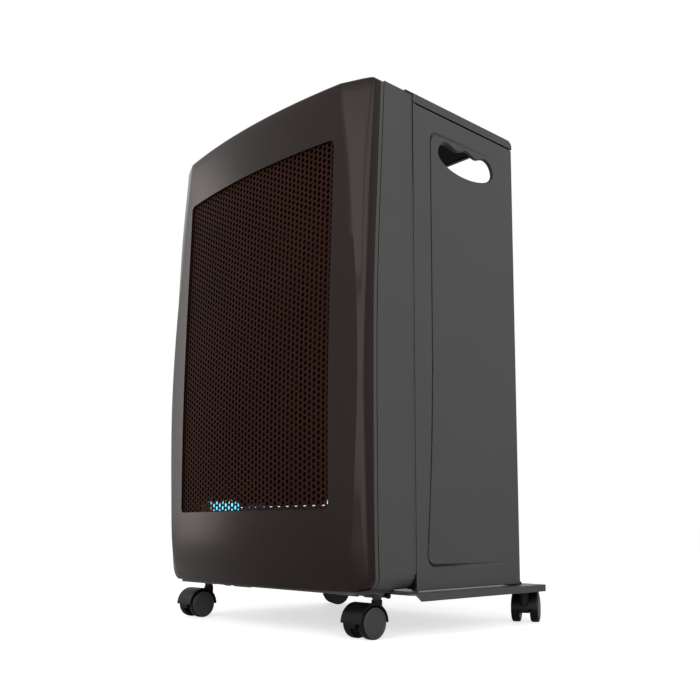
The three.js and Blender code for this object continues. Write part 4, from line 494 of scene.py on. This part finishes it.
def station(key, height):
    """A smooth curve through the stations' values of one key."""
    at = (height - SECTION_BOTTOM) / SECTION_HEIGHT
    places, values = STATIONS["at"], STATIONS[key]
    last = len(places) - 1
    i = next((k - 1 for k in range(1, last + 1) if places[k] > at), last - 1)
    i = max(i, 0)

    def slope(k):
        a, b = max(k - 1, 0), min(k + 1, last)
        return (values[b] - values[a]) / (places[b] - places[a])

    span = places[i + 1] - places[i]
    t = (at - places[i]) / span
    return ((2 * t**3 - 3 * t**2 + 1) * values[i]
            + (t**3 - 2 * t**2 + t) * span * slope(i)
            + (3 * t**2 - 2 * t**3) * values[i + 1]
            + (t**3 - t**2) * span * slope(i + 1))


def bow_y(x, height):
    """Where the front's arc lies at a distance from the middle."""
    return FRONT_Y + station("bow", height) + BOW_RADIUS - math.sqrt(BOW_RADIUS**2 - x**2)


def edge_draw(radius, distance):
    """How far a rounded edge draws in at a distance from its end."""
    left = max(radius - distance, 0)
    return radius - math.sqrt(radius**2 - left**2)


def cover_half(height):
    """The right half of the cover's section: bow, crease, facet, roll, flat band and trim."""
    side = SECTION_HALF - edge_draw(BOTTOM_RADIUS, height - SECTION_BOTTOM)
    crease_x = min(SECTION_HALF - station("crease", height), side - 1)
    across = [crease_x * i / BOW_STEPS for i in range(BOW_STEPS + 1)]
    points = [(x, bow_y(x, height)) for x in across]
    crease, knee = points[-1], (side, FRONT_Y + station("knee", height))
    seam = FRONT_Y + station("seam", height)
    band = (side, seam - station("band", height))
    flat = [c + (k - c) * FACET_SHARE for c, k in zip(crease, knee)]
    for i in range(1, FACET_STEPS):
        points.append(tuple(c + (f - c) * i / FACET_STEPS for c, f in zip(crease, flat)))
    for i in range(ROLL_STEPS + 1):
        t = i / ROLL_STEPS
        points.append(tuple((1 - t) ** 2 * a + 2 * t * (1 - t) * b + t * t * c
                            for a, b, c in zip(flat, knee, band)))
    points += [(side, seam - TRIM), (side, seam)]
    return points


def cover_ring(height, inset, rear_reach):
    """The cover's section at a height, drawn in by inset at its front and sides."""
    half = cover_half(height)
    seam = half[-1][1]
    narrow = 1 - inset / SECTION_HALF
    shallow = 1 - inset / (seam - half[0][1])
    half = [(x * narrow, seam + (y - seam) * shallow, height) for x, y in half]
    half[-1] = (half[-1][0], seam + rear_reach, height)
    return [(-x, y, z) for x, y, z in half[:0:-1]] + half


def loft(rings):
    """A closed shell through rings with the same number of points."""
    count = len(rings[0])
    points = [point for ring in rings for point in ring]
    top = (len(rings) - 1) * count
    faces = [list(range(count))[::-1], list(range(top, top + count))]
    for a in range(0, top, count):
        b = a + count
        for i in range(count):
            j = (i + 1) % count
            faces.append([a + i, a + j, b + j, b + i])
    return temporary(points, faces)


def make_cover():
    """The shield: outer skin less its inside, the window and the holes for deck and floor."""
    low, high = SECTION_BOTTOM, SECTION_TOP
    heights = [low + rise for rise in FOOT_RISES]
    heights += levels(low + 17, high - TOP_RADIUS, SKIN_STEP)
    heights += [high - drop for drop in HEAD_DROPS]
    outer = loft([cover_ring(z, edge_draw(TOP_RADIUS, high - z), 0) for z in heights])
    inside = [low + rise for rise in INNER_RISES]
    inside += levels(low + 20, high - TOP_RADIUS, INNER_STEP)
    inside += [high - TOP_RADIUS, high - COVER_WALL]
    inner = loft([cover_ring(z, COVER_WALL + edge_draw(TOP_RADIUS, high - z), REAR_REACH)
                  for z in inside])
    opening = rounded(-WINDOW_HALF, WINDOW_HALF, WINDOW_BOTTOM, WINDOW_TOP, WINDOW_RADIUS)
    window = prism(opening, "y", *WINDOW_CUT)
    deck_hole = block(-DECK_HOLE_HALF, DECK_HOLE_HALF, DECK_HOLE_FRONT, SEAM_Y,
                      high - 6, high + 1)
    floor_hole = block(-FLOOR_HOLE_HALF, FLOOR_HOLE_HALF, FLOOR_HOLE_FRONT, SEAM_Y,
                       low - 1, low + 4)
    carve(outer, [inner, window, deck_hole, floor_hole])
    mesh = outer.data
    bpy.data.objects.remove(outer)
    cover = new_object("cover_skin", mesh)
    mesh.materials.clear()
    mesh.materials.append(COVER)
    mesh.materials.append(CABINET)
    for face in mesh.polygons:
        x, y, z = (c / MM for c in face.center)
        seam = FRONT_Y + station("seam", z)
        side = SECTION_HALF - edge_draw(BOTTOM_RADIUS, max(z - SECTION_BOTTOM, 0))
        face.material_index = int(abs(x) > side - SIDE_SKIN and y > seam - TRIM - 0.1)
    smooth(cover, 16)
    soften(cover, 0.5, 35)
    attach(cover, "cabinet")
    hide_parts("front_cover")


make_cover()


# ---------------------------------------------------------------- guard of expanded metal

MESH_COLUMN = 8
MESH_ROW = 8.2
HOLE_HALF = 2.75
HOLE_SIDE = 1.6
HOLE_PEAK = 3.3
MESH_START = 151.2
STRAND_RISE, STRAND_PLACE, STRAND_THICK = 0.35, 1, 0.9
MESH_HALF = WINDOW_HALF + 5
MESH_BOTTOM = WINDOW_BOTTOM - 5
MESH_TOP = WINDOW_TOP + 5


def make_guard():
    """Staggered columns of six-sided openings, with the strands standing a little proud."""
    points, faces, known = [], [], {}

    def vertex(x, z, lift):
        key = (round(x, 3), round(z, 3))
        if key not in known:
            known[key] = len(points)
            held = (min(max(x, -MESH_HALF), MESH_HALF), min(max(z, MESH_BOTTOM), MESH_TOP))
            points.append((held[0], bow_y(*held) + GUARD_BEHIND + STRAND_PLACE - lift, held[1]))
        return known[key]

    columns = int(MESH_HALF / MESH_COLUMN)
    rows = int((MESH_TOP - MESH_START) / MESH_ROW) + 1
    w, h = MESH_COLUMN / 2, MESH_ROW / 2
    for column in range(-columns, columns + 1):
        x = column * MESH_COLUMN
        for row in range(rows + 1):
            z = MESH_START + row * MESH_ROW - (h if column % 2 else 0)
            rim = [(x - w, z - h), (x, z - h), (x + w, z - h), (x + w, z), (x + w, z + h),
                   (x, z + h), (x - w, z + h), (x - w, z)]
            hole = [(x - HOLE_HALF, z - HOLE_SIDE), (x, z - HOLE_PEAK),
                    (x + HOLE_HALF, z - HOLE_SIDE), (x + HOLE_HALF, z + HOLE_SIDE),
                    (x, z + HOLE_PEAK), (x - HOLE_HALF, z + HOLE_SIDE)]
            o = [vertex(*place, STRAND_RISE) for place in rim]
            i = [vertex(*place, 0) for place in hole]
            faces += [[o[0], o[1], i[1], i[0]], [o[1], o[2], i[2], i[1]],
                      [o[2], o[3], o[4], i[3], i[2]], [o[4], o[5], i[4], i[3]],
                      [o[5], o[6], i[5], i[4]], [o[6], o[7], o[0], i[0], i[5]]]
    guard = piece("guard_lattice", points, faces, GUARD, "cabinet",
                  ("guard_mesh",))
    thick = guard.modifiers.new("sheet", "SOLIDIFY")
    thick.thickness = STRAND_THICK * MM
    thick.offset = 0
    smooth(guard, 50)


make_guard()


# ---------------------------------------------------------------- wings

WING_FACE = 224
SHEET = 1.5
WING_FRONT, WING_REAR = SEAM_Y + GAP, 141.3
WING_BOTTOM, WING_TOP = 58, 721.6
WING_FLANGE = 12.5
# the pressed recess of a wing, its rim and its bead
RECESS_DEPTH = 2.2
RECESS_FRONT, RECESS_LOW_FRONT, RECESS_REAR = SEAM_Y + 35.5, SEAM_Y + 22, SEAM_Y + 203
RECESS_BOTTOM, RECESS_TOP = 87.5, 693.5
RECESS_STEP = 420
RECESS_RADIUS = 16
RECESS_RIM = 3.6
BEAD_RISE, BEAD_FRONT, BEAD_PLACE, BEAD_HALF = 0.7, 1.9, 1.4, 2
# painted shade as a dark line along the recess: how far back it reaches, and how wide it is
SHADE_LINE_REACH, SHADE_LINE_LOW, SHADE_LINE_FRONT = 45, 1.5, 3.9
SHADE_LINE_START, SHADE_LINE_FACING, SHADE_LINE_SKIN = 0.3, 0.5, 5.5
GRID_FINE, GRID_MIDDLE, GRID_ACROSS, GRID_UP = 0.8, 1.6, 8, 12
# the top edge, drawn in below the lid
JOGGLE, JOGGLE_HIGH = 2.2, 1.4
PIVOT_X, PIVOT_Y = 220, -78.2
PIVOT_EYE, PIVOT_BORE = 3.7, 2.2
# the hand hole
GRIP_Y, GRIP_Z = 33.3, 667
GRIP_HALF, GRIP_SAG = 62, 24
GRIP_TOP, GRIP_WAVE, GRIP_ROUND = 687, 5.5, 20
OVAL_STEPS, END_STEPS, WAVE_STEPS = 32, 10, 40


def recess_border(y, z):
    """Distance inside the pressed face's border, and how much that border faces the front."""
    down = min(max((RECESS_STEP - z) / (RECESS_STEP - RECESS_BOTTOM - RECESS_RADIUS), 0), 1)
    inward = y - (RECESS_FRONT + (RECESS_LOW_FRONT - RECESS_FRONT) * down ** 2)
    upward = min(RECESS_TOP - z, z - RECESS_BOTTOM)
    r = RECESS_RADIUS
    depth = min(inward, upward)
    if inward < r and upward < r:
        depth = r - math.hypot(r - inward, r - upward)
    return depth, min(max((RECESS_TOP - z - inward) / r + 0.5, 0), 1)


def recess_depth(y, z):
    """How far the pressed face lies in; it fades out towards the rear."""
    depth, facing = recess_border(y, z)
    share = min(max(depth / RECESS_RIM, 0), 1)
    taper = max((RECESS_REAR - y) / (RECESS_REAR - RECESS_FRONT), 0)
    ridge = max(1 - ((depth - BEAD_PLACE) / BEAD_HALF) ** 2, 0)
    bead = (BEAD_RISE + BEAD_FRONT * facing) * ridge
    return taper * (RECESS_DEPTH * share * share * (3 - 2 * share) + bead)


def wing_grid():
    """The outer and inner face of a wing's sheet, joined round the edge."""
    fold = WING_TOP - JOGGLE_HIGH
    across, up = [WING_FRONT], [WING_BOTTOM, WING_BOTTOM + 12]
    for start, end, step in ((RECESS_LOW_FRONT - 2, RECESS_FRONT + 6, GRID_FINE),
                             (RECESS_FRONT + 6, RECESS_FRONT + 22, GRID_MIDDLE),
                             (RECESS_FRONT + 22, WING_REAR, GRID_ACROSS)):
        across += levels(start, end, step)
    across.append(WING_REAR)
    for start, end, step in ((RECESS_BOTTOM - 2, RECESS_BOTTOM + 7, GRID_FINE),
                             (RECESS_BOTTOM + 7, RECESS_BOTTOM + 20, GRID_MIDDLE),
                             (RECESS_BOTTOM + 20, RECESS_TOP - 20, GRID_UP),
                             (RECESS_TOP - 20, RECESS_TOP - 7, GRID_MIDDLE),
                             (RECESS_TOP - 7, RECESS_TOP + 3, GRID_FINE)):
        up += levels(start, end, step)
    up += [RECESS_TOP + 12, fold - 0.3, fold, WING_TOP]
    points = []
    for inward in (0, SHEET):
        for z in up:
            drop = JOGGLE if z > fold - 0.1 else 0
            points += [(WING_FACE - drop - recess_depth(y, z) - inward, y, z) for y in across]
    wide, high = len(across), len(up)
    back = wide * high
    faces = []
    for r in range(high - 1):
        for c in range(wide - 1):
            a, b = r * wide + c, (r + 1) * wide + c
            faces += [[a, a + 1, b + 1, b], [back + b, back + b + 1, back + a + 1, back + a]]
    top = (high - 1) * wide
    for c in range(wide - 1):
        faces += [[c + 1, c, back + c, back + c + 1],
                  [top + c, top + c + 1, back + top + c + 1, back + top + c]]
    for r in range(high - 1):
        a, b = r * wide, (r + 1) * wide
        c, d = a + wide - 1, b + wide - 1
        faces += [[a, b, back + b, back + a], [d, c, back + c, back + d]]
    return temporary(points, faces)


def grip_outline(grow=0):
    """The hand hole: an oval lower edge, round ends and finger waves along the top."""
    half, r = GRIP_HALF + grow, GRIP_ROUND + grow
    flat = half - r
    outline = []
    for i in range(OVAL_STEPS + 1):
        angle = math.pi + math.pi * i / OVAL_STEPS
        outline.append((GRIP_Y + half * math.cos(angle),
                        GRIP_Z + (GRIP_SAG + grow) * math.sin(angle)))
    for i in range(1, END_STEPS + 1):
        angle = math.pi / 2 * i / END_STEPS
        outline.append((GRIP_Y + flat + r * math.cos(angle), GRIP_Z + r * math.sin(angle)))
    for i in range(1, WAVE_STEPS):
        wave = GRIP_WAVE * math.sin(2 * math.pi * i / WAVE_STEPS) ** 2
        outline.append((GRIP_Y + flat * (1 - 2 * i / WAVE_STEPS), GRIP_TOP + grow - wave))
    for i in range(END_STEPS):
        angle = math.pi / 2 * (1 + i / END_STEPS)
        outline.append((GRIP_Y - flat + r * math.cos(angle), GRIP_Z + r * math.sin(angle)))
    return outline


def wing_flange(z, drop):
    """A flange with its pivot eye, cut away in front of the pivot."""
    edge = WING_FACE - WING_FLANGE
    flange = block(edge, WING_FACE - SHEET - drop + OVERLAP, PIVOT_Y - PIVOT_EYE, WING_REAR,
                   z, z + SHEET)
    carve(flange, [block(edge - 1, PIVOT_X, PIVOT_Y - 5, PIVOT_Y - GAP, z - 1, z + 3)])
    carve(flange, [disc("z", (PIVOT_X, PIVOT_Y), PIVOT_EYE, z, z + SHEET)], "UNION")
    return carve(flange, [disc("z", (PIVOT_X, PIVOT_Y), PIVOT_BORE, z - 1, z + 3)])


def make_wings():
    """Pressed sheet with flanges on three sides, with painted shade along the recess's front and
    foot.
    """
    edge = WING_FACE - WING_FLANGE
    skin = carve(wing_grid(), [prism(grip_outline(), "x", WING_FACE - 20, WING_FACE + 5)])
    shells = [
        skin, wing_flange(WING_BOTTOM, 0), wing_flange(WING_TOP - SHEET, JOGGLE),
        block(edge, WING_FACE - SHEET + OVERLAP, WING_REAR - SHEET, WING_REAR,
              WING_BOTTOM + SHEET, WING_TOP - SHEET),
        block(edge, edge + SHEET, WING_REAR - 6, WING_REAR - SHEET,
              WING_BOTTOM + SHEET, WING_TOP - SHEET),
    ]
    for side in ("right", "left"):
        wing = merge(f"{side}_wing_skin", shells, CABINET, side == "left")
        # painted shade: a dark finish on the faces along the recess's front and foot
        wing.data.materials.append(RECESS_SHADE)
        for face in wing.data.polygons:
            x, y, z = face.center / MM
            depth, facing = recess_border(y, z)
            width = SHADE_LINE_LOW if z < RECESS_BOTTOM + RECESS_RADIUS else SHADE_LINE_FRONT
            near = abs(x) > WING_FACE - SHADE_LINE_SKIN and y < RECESS_FRONT + SHADE_LINE_REACH
            pressed = facing > SHADE_LINE_FACING and SHADE_LINE_START < depth < width
            face.material_index = int(near and pressed)
        smooth(wing, 25)
        soften(wing, 0.35, 40)
        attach(wing, f"{side}_wing_body")
        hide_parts(f"{side}_wing")
    for shell in shells:
        bpy.data.objects.remove(shell)


RIM_IN, RIM_BORE, RIM_FLANGE = -1.2, -0.3, 4
LINER_CLEAR, LINER_SUNK = 0.6, 0.5
LINER_START, LINER_SPAN = GRIP_Y - 10, 45
FLANGE_THICK, FLANGE_FRONT = 0.6, 0.9
LINER_LIP, LINER_DEPTH = 0.2, 7


def make_grips():
    """Liner of the hand hole: deepest at the front, thin at the rear, with a flange inside."""
    lining = WING_FACE - SHEET - RECESS_DEPTH - LINER_CLEAR
    rims = {grow: grip_outline(grow) for grow in (RIM_IN, RIM_BORE, RIM_FLANGE)}
    points, faces = [], []
    count = len(rims[RIM_BORE])
    for i in range(count):
        y, z = rims[RIM_BORE][i]
        ahead = min(max((LINER_START - y) / LINER_SPAN, 0), 1)
        back = lining - FLANGE_THICK - FLANGE_FRONT * ahead
        inner = back - LINER_LIP - LINER_DEPTH * ahead * ahead * (3 - 2 * ahead)
        outer = WING_FACE - recess_depth(y, z) - LINER_SUNK
        section = ((RIM_IN, outer), (RIM_BORE, outer), (RIM_BORE, lining), (RIM_FLANGE, lining),
                   (RIM_FLANGE, back), (RIM_BORE, back), (RIM_BORE, inner), (RIM_IN, inner))
        points += [(x, *rims[grow][i]) for grow, x in section]
    size = len(section)
    for i in range(count):
        a, b = size * i, size * ((i + 1) % count)
        for k in range(size):
            n = (k + 1) % size
            faces.append([a + k, a + n, b + n, b + k])
    liner = temporary(points, faces)
    for side in ("right", "left"):
        grip = merge(f"{side}_grip_liner", [liner], GRIP, side == "left")
        smooth(grip, 35)
        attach(grip, f"{side}_wing_body")
        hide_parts(f"{side}_grip")
    bpy.data.objects.remove(liner)


make_wings()
make_grips()


# ---------------------------------------------------------------- painted shade at the corners of the side panels

CORNER_FOOT, CORNER_CLEAR = 59.9, 0.15
CORNER_REAR, CORNER_SHEET = SEAM_Y - 0.4, 1.4
PLATE_STEPS = 12


def make_corner_shade_plates():
    """Painted shade: a near-black plate filling the square corner outside each side panel's
    round lower edge, next to the wing's pivot.
    """
    centre, z0 = SECTION_HALF - BOTTOM_RADIUS, SECTION_BOTTOM + BOTTOM_RADIUS
    reach = BOTTOM_RADIUS + CORNER_CLEAR
    turns = [math.pi / 2 * i / PLATE_STEPS for i in range(1, PLATE_STEPS + 1)]
    outline = [(centre + reach * math.sin(t), z0 - reach * math.cos(t)) for t in turns]
    outline.append((SECTION_HALF + CORNER_CLEAR, CORNER_FOOT))
    plate = prism(outline, "y", CORNER_REAR - CORNER_SHEET, CORNER_REAR)
    for side in ("right", "left"):
        # painted shade: black plastic where the gap at the panel's lower corner lies in shadow
        shade_plate = merge(f"{side}_panel_gusset", [plate], PLASTIC, side == "left")
        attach(shade_plate, "cabinet")
    bpy.data.objects.remove(plate)


make_corner_shade_plates()


# ---------------------------------------------------------------- lid

LID_TOP, LID_SHEET, LID_SKIRT = 735, 1.7, 12.4
LID_CORNER, LID_STEPS = 10, 12
LID_HEM, LID_HANG, LID_RETURN = 6, 1.2, 8
HEM_FRONT, HEM_SHORT = SEAM_Y + 4.5, 0.2
LID_REAR, LID_SHEET_REAR = 143.3, 137.5
PIN_Y, PIN_Z, PIN_BORE = -98.5, 732.4, 1.4
KNUCKLE_RADIUS, KNUCKLE_HALF = 2.6, 214


def make_lid():
    """A pan with hemmed side skirts that round off at the rear; its inside carries a near-black
    painted shade.
    """
    low, ceiling = LID_TOP - LID_SKIRT, LID_TOP - LID_SHEET
    skirt = [(SEAM_Y + GAP, low), (LID_REAR, low)]
    for i in range(LID_STEPS + 1):
        turn = math.pi / 2 * i / LID_STEPS
        skirt.append((LID_REAR - LID_CORNER + LID_CORNER * math.cos(turn),
                      LID_TOP - LID_CORNER + LID_CORNER * math.sin(turn)))
    skirt.append((SEAM_Y + GAP, LID_TOP))
    lid = prism(skirt, "x", -WING_FACE, WING_FACE)
    inner = WING_FACE - SHEET
    carve(lid, [block(-inner, inner, SEAM_Y - 5, LID_SHEET_REAR - LID_HEM, low - 5, ceiling)])
    carve(lid, [block(-inner, inner, SEAM_Y - 5, LID_REAR + 5,
                      low - 5, ceiling - LID_HANG)])
    carve(lid, [block(-inner, inner, LID_SHEET_REAR, LID_REAR + 5, low - 5, LID_TOP + 5)])
    carve(lid, [block(-WING_FACE, WING_FACE, PIN_Y + 2, SEAM_Y + 4, ceiling, LID_TOP),
                block(-KNUCKLE_HALF, KNUCKLE_HALF, PIN_Y, PIN_Y + 3, ceiling, LID_TOP),
                disc("x", (PIN_Y, PIN_Z), KNUCKLE_RADIUS, -KNUCKLE_HALF, KNUCKLE_HALF)], "UNION")
    carve(lid, [disc("x", (PIN_Y, PIN_Z), PIN_BORE, -KNUCKLE_HALF - 2, KNUCKLE_HALF + 2)])
    folds = ((inner - LID_RETURN, inner + OVERLAP), (-inner - OVERLAP, LID_RETURN - inner))
    hems = [block(x0, x1, HEM_FRONT, LID_REAR - HEM_SHORT, low, low + SHEET)
            for x0, x1 in folds]
    carve(lid, hems, "UNION")
    pan = merge("lid_pan", [lid], CABINET)
    pan.data.materials.append(LID_SHADE)
    pan.data.materials.append(CHASSIS)
    # painted shade: faces inside the pan take the near-black finish, the rear hem the chassis
    # paint
    for face in pan.data.polygons:
        x, y, z = face.center / MM
        outside = abs(x) > inner + 0.5 or z > ceiling + 0.1
        hem = y > LID_SHEET_REAR - LID_HEM - 0.5 and abs(x) < inner - LID_RETURN
        face.material_index = 0 if outside else 2 if hem else 1
    bpy.data.objects.remove(lid)
    smooth(pan, 25)
    soften(pan, 0.4, 40)
    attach(pan, "lid_body")
    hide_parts("lid")


make_lid()


# ---------------------------------------------------------------- casters

WHEEL_RADIUS = 20.5
TRAIL = 22
HOOD_RADIUS, HOOD_WALL, HOOD_HALF = 24.6, 2.6, 18.5
WEB_HALF, WEB_BEYOND = 7, 0.25
ARCH_STEPS, BOSS_STEPS = 40, 48
CHEEK_REACH, AXLE_REACH, STEM_DEPTH = 32, 25, 18
BOSS_RADIUS, BOSS_TOP = 7, WHEEL_RADIUS + HOOD_RADIUS + 2
BOSS_FOOT, BOSS_TIP = 29, ((0.9, 1.6), (0.75, 3), (0.55, 4.2), (0.3, 5))
AXLE_BORE, STEM_BORE = 3.2, 4.3
WHEEL_FACE = 19.2
CASTERS = {
    "front_right": (191, -122.2, 180), "front_left": (-191, -122.2, 180),
    "rear_right": (222, 152.3, 28.6), "rear_left": (-222, 152.3, -28.6),
}
# a wheel's section from its closed outer face round the rim to the blind bore: radius, x
WHEEL_SECTION = (
    (7, 19.9), (15.4, 19.9), (15.9, 19.5), (16.6, 19.5), (17.1, 19.9), (18.2, 19.9),
    (19.4, 19.4), (20.2, 18.4), (20.5, 17), (20.5, 10.5), (20.1, 8.9), (19, 7.8), (17.5, 7.5),
    (16, 7.9), (9, 9), (7.5, 7.5), (3.2, 7.5), (3.2, 19.75),
)


def arc(radius, start, end, steps):
    """Points round the wheel's axis: how far behind the stem, and how high."""
    turns = [start + (end - start) * i / steps for i in range(steps + 1)]
    return [(TRAIL + radius * math.cos(t), WHEEL_RADIUS + radius * math.sin(t)) for t in turns]


def hood_shell():
    """A caster's hood: arch, middle web and the boss of the stem, open for both wheels."""
    axle = (TRAIL, WHEEL_RADIUS)
    lining = HOOD_RADIUS - HOOD_WALL
    arch = arc(HOOD_RADIUS, 0, math.pi, ARCH_STEPS) + arc(lining, math.pi, 0, ARCH_STEPS)
    hood = prism(arch, "x", -HOOD_HALF, HOOD_HALF)
    web = prism(arc(HOOD_RADIUS - HOOD_WALL / 2, -WEB_BEYOND, math.pi + WEB_BEYOND, ARCH_STEPS),
                "x", -WEB_HALF, WEB_HALF)
    boss = disc("z", (0, 0), BOSS_RADIUS, BOSS_FOOT, BOSS_TOP)
    carve(boss, [disc("z", (0, 0), BOSS_RADIUS * share, BOSS_FOOT - drop, BOSS_FOOT + 1)
                 for share, drop in BOSS_TIP], "UNION")
    carve(boss, [disc("x", axle, lining, side * WEB_HALF, side * CHEEK_REACH, BOSS_STEPS)
                 for side in (-1, 1)])
    carve(hood, [web, boss], "UNION")
    return carve(hood, [disc("x", axle, AXLE_BORE, -AXLE_REACH, AXLE_REACH),
                        disc("z", (0, 0), STEM_BORE, BOSS_TOP - STEM_DEPTH, BOSS_TOP + 5)])


def wheel_disc(side):
    """A wheel turned from its section, on one side of the caster."""
    sides = 56
    points, faces = [], []
    for radius, x in WHEEL_SECTION:
        points += [(side * x, *place) for place in arc(radius, 0, 2 * math.pi, sides)[:-1]]
    for r in range(len(WHEEL_SECTION) - 1):
        for i in range(sides):
            j, a = (i + 1) % sides, r * sides
            faces.append([a + i, a + sides + i, a + sides + j, a + j])
    last = (len(WHEEL_SECTION) - 1) * sides
    faces += [list(range(sides)), [last + i for i in reversed(range(sides))]]
    return temporary(points, faces)


def make_casters():
    """Four hoods and eight wheels, turned and moved from one hood and two wheels."""
    hood, wheels = hood_shell(), {"left": wheel_disc(-1), "right": wheel_disc(1)}
    for name, (x, y, yaw) in CASTERS.items():
        turn = Matrix.Rotation(math.radians(yaw), 4, "Z")
        put = Matrix.Translation((x * MM, y * MM, 0)) @ turn
        shell = merge(f"{name}_hood_shell", [hood], PLASTIC)
        shell.data.transform(put)
        smooth(shell, 30)
        soften(shell, 0.5, 40)
        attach(shell, f"{name}_caster")
        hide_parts(f"{name}_caster_hood")
        for side, wheel in wheels.items():
            turned = merge(f"{name}_{side}_wheel_disc", [wheel], WHEEL)
            turned.data.materials.append(PLASTIC)
            for face in turned.data.polygons:
                face.material_index = int(abs(face.center.x) < WHEEL_FACE * MM)
            turned.data.transform(put)
            smooth(turned, 30)
            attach(turned, f"{name}_{side}_wheel_body")
            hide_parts(f"{name}_{side}_wheel")
    for thing in (hood, *wheels.values()):
        bpy.data.objects.remove(thing)


make_casters()


# ---------------------------------------------------------------- flames

TONGUE = ((0.55, 0), (1, 0.18), (0.92, 0.4), (0.6, 0.65), (0.28, 0.85), (0.05, 1))
TONGUE_SIDES, TONGUE_FLAT = 10, 0.6
GLOW_FOOT, GLOW_TIP, FADE_START = 0.95, 0.1, 0.2
SWAY, SWAY_TURN, FLICKER, FLICKER_TURN = 0.8, 2.3, 0.1, 1.7


def flame_material(name, low, high, strength):
    """A glow that changes colour from foot to tip and thins out upwards."""
    made = bpy.data.materials.new(name)
    made.use_nodes = True
    tree = made.node_tree
    tree.nodes.clear()
    output = tree.nodes.new("ShaderNodeOutputMaterial")
    glow = tree.nodes.new("ShaderNodeEmission")
    glow.inputs["Strength"].default_value = strength
    clear = tree.nodes.new("ShaderNodeBsdfTransparent")
    mix = tree.nodes.new("ShaderNodeMixShader")
    place = tree.nodes.new("ShaderNodeTexCoord")
    split = tree.nodes.new("ShaderNodeSeparateXYZ")
    tree.links.new(place.outputs["Generated"], split.inputs[0])
    ramp = tree.nodes.new("ShaderNodeValToRGB")
    ramp.color_ramp.elements[0].color = linear(low)
    ramp.color_ramp.elements[1].color = linear(high)
    tree.links.new(split.outputs["Z"], ramp.inputs["Fac"])
    tree.links.new(ramp.outputs["Color"], glow.inputs["Color"])
    fade = remap(tree, split.outputs["Z"], FADE_START, 1, GLOW_FOOT, GLOW_TIP)
    tree.links.new(fade, mix.inputs[0])
    tree.links.new(clear.outputs[0], mix.inputs[1])
    tree.links.new(glow.outputs[0], mix.inputs[2])
    tree.links.new(mix.outputs[0], output.inputs[0])
    return made


def make_flames(name, places, material):
    """Pointed tongues: (x, y, foot, half width, height) each."""
    points, faces = [], []
    sides = TONGUE_SIDES
    for x, y, foot, half, height in places:
        start = len(points)
        for width, up in TONGUE:
            for i in range(sides):
                angle = 2 * math.pi * i / sides
                points.append((x + half * width * math.cos(angle),
                               y + half * TONGUE_FLAT * width * math.sin(angle),
                               foot + height * up))
        top = start + (len(TONGUE) - 1) * sides
        for a in range(start, top, sides):
            for i in range(sides):
                j = (i + 1) % sides
                faces.append([a + i, a + j, a + sides + j, a + sides + i])
        faces.append([start + i for i in reversed(range(sides))])
        faces.append([top + i for i in range(sides)])
    smooth(piece(name, points, faces, material, "cabinet"), 30)


def row(start, end, step, y, foot, half, height):
    """Flames side by side along the burner."""
    count = round((end - start) / step)
    return [(start + (end - start) * i / count, y + SWAY * math.sin(SWAY_TURN * i), foot, half,
             height * (1 + FLICKER * math.sin(FLICKER_TURN * i))) for i in range(count + 1)]


FRONT_PORTS = -173
make_flames("flames_front", row(-121, -46, 5, FRONT_PORTS, 164.6, 3.6, 15),
            flame_material("flame_bright", 0x4fc4ee, 0x8fe2fa, 1.9))
make_flames("flame_pilot", [(153, FRONT_PORTS, 165, 1.6, 14)],
            flame_material("flame_pale", 0x9fd8ea, 0xbfeaf6, 1.7))
make_flames("flames_low", row(-60, 132, 4, -160, BURNER_TOP + 0.3, 2.6, 1.3),
            flame_material("flame_blue", 0xa8dcf0, 0xc8ecf8, 1.5))
make_flames("flames_dim", row(-20, 15, 7, FRONT_PORTS, 165.5, 3, 9),
            flame_material("flame_dim", 0x243a5c, 0x2c4468, 0.8))


# ---------------------------------------------------------------- floor

FLOOR_HALF = 20
FLOOR_GREY, FLOOR_ROUGH, FLOOR_GLOW = 0.8, 0.6, 0.62


def make_floor():
    """A white floor that keeps the shadow and looks as bright as the world behind it."""
    h = FLOOR_HALF
    mesh = bpy.data.meshes.new("floor")
    mesh.from_pydata([(-h, -h, 0), (h, -h, 0), (h, h, 0), (-h, h, 0)], [], [(0, 1, 2, 3)])
    floor = new_object("floor", mesh)
    made = bpy.data.materials.new("floor")
    made.use_nodes = True
    tree = made.node_tree
    shader = tree.nodes["Principled BSDF"]
    shader.inputs["Base Color"].default_value = (FLOOR_GREY, FLOOR_GREY, FLOOR_GREY, 1)
    shader.inputs["Roughness"].default_value = FLOOR_ROUGH
    shader.inputs["Emission Color"].default_value = (1, 1, 1, 1)
    path = tree.nodes.new("ShaderNodeLightPath")
    glow = tree.nodes.new("ShaderNodeMath")
    glow.operation = "MULTIPLY"
    glow.inputs[1].default_value = FLOOR_GLOW
    tree.links.new(path.outputs["Is Camera Ray"], glow.inputs[0])
    tree.links.new(glow.outputs[0], shader.inputs["Emission Strength"])
    mesh.materials.append(made)


make_floor()
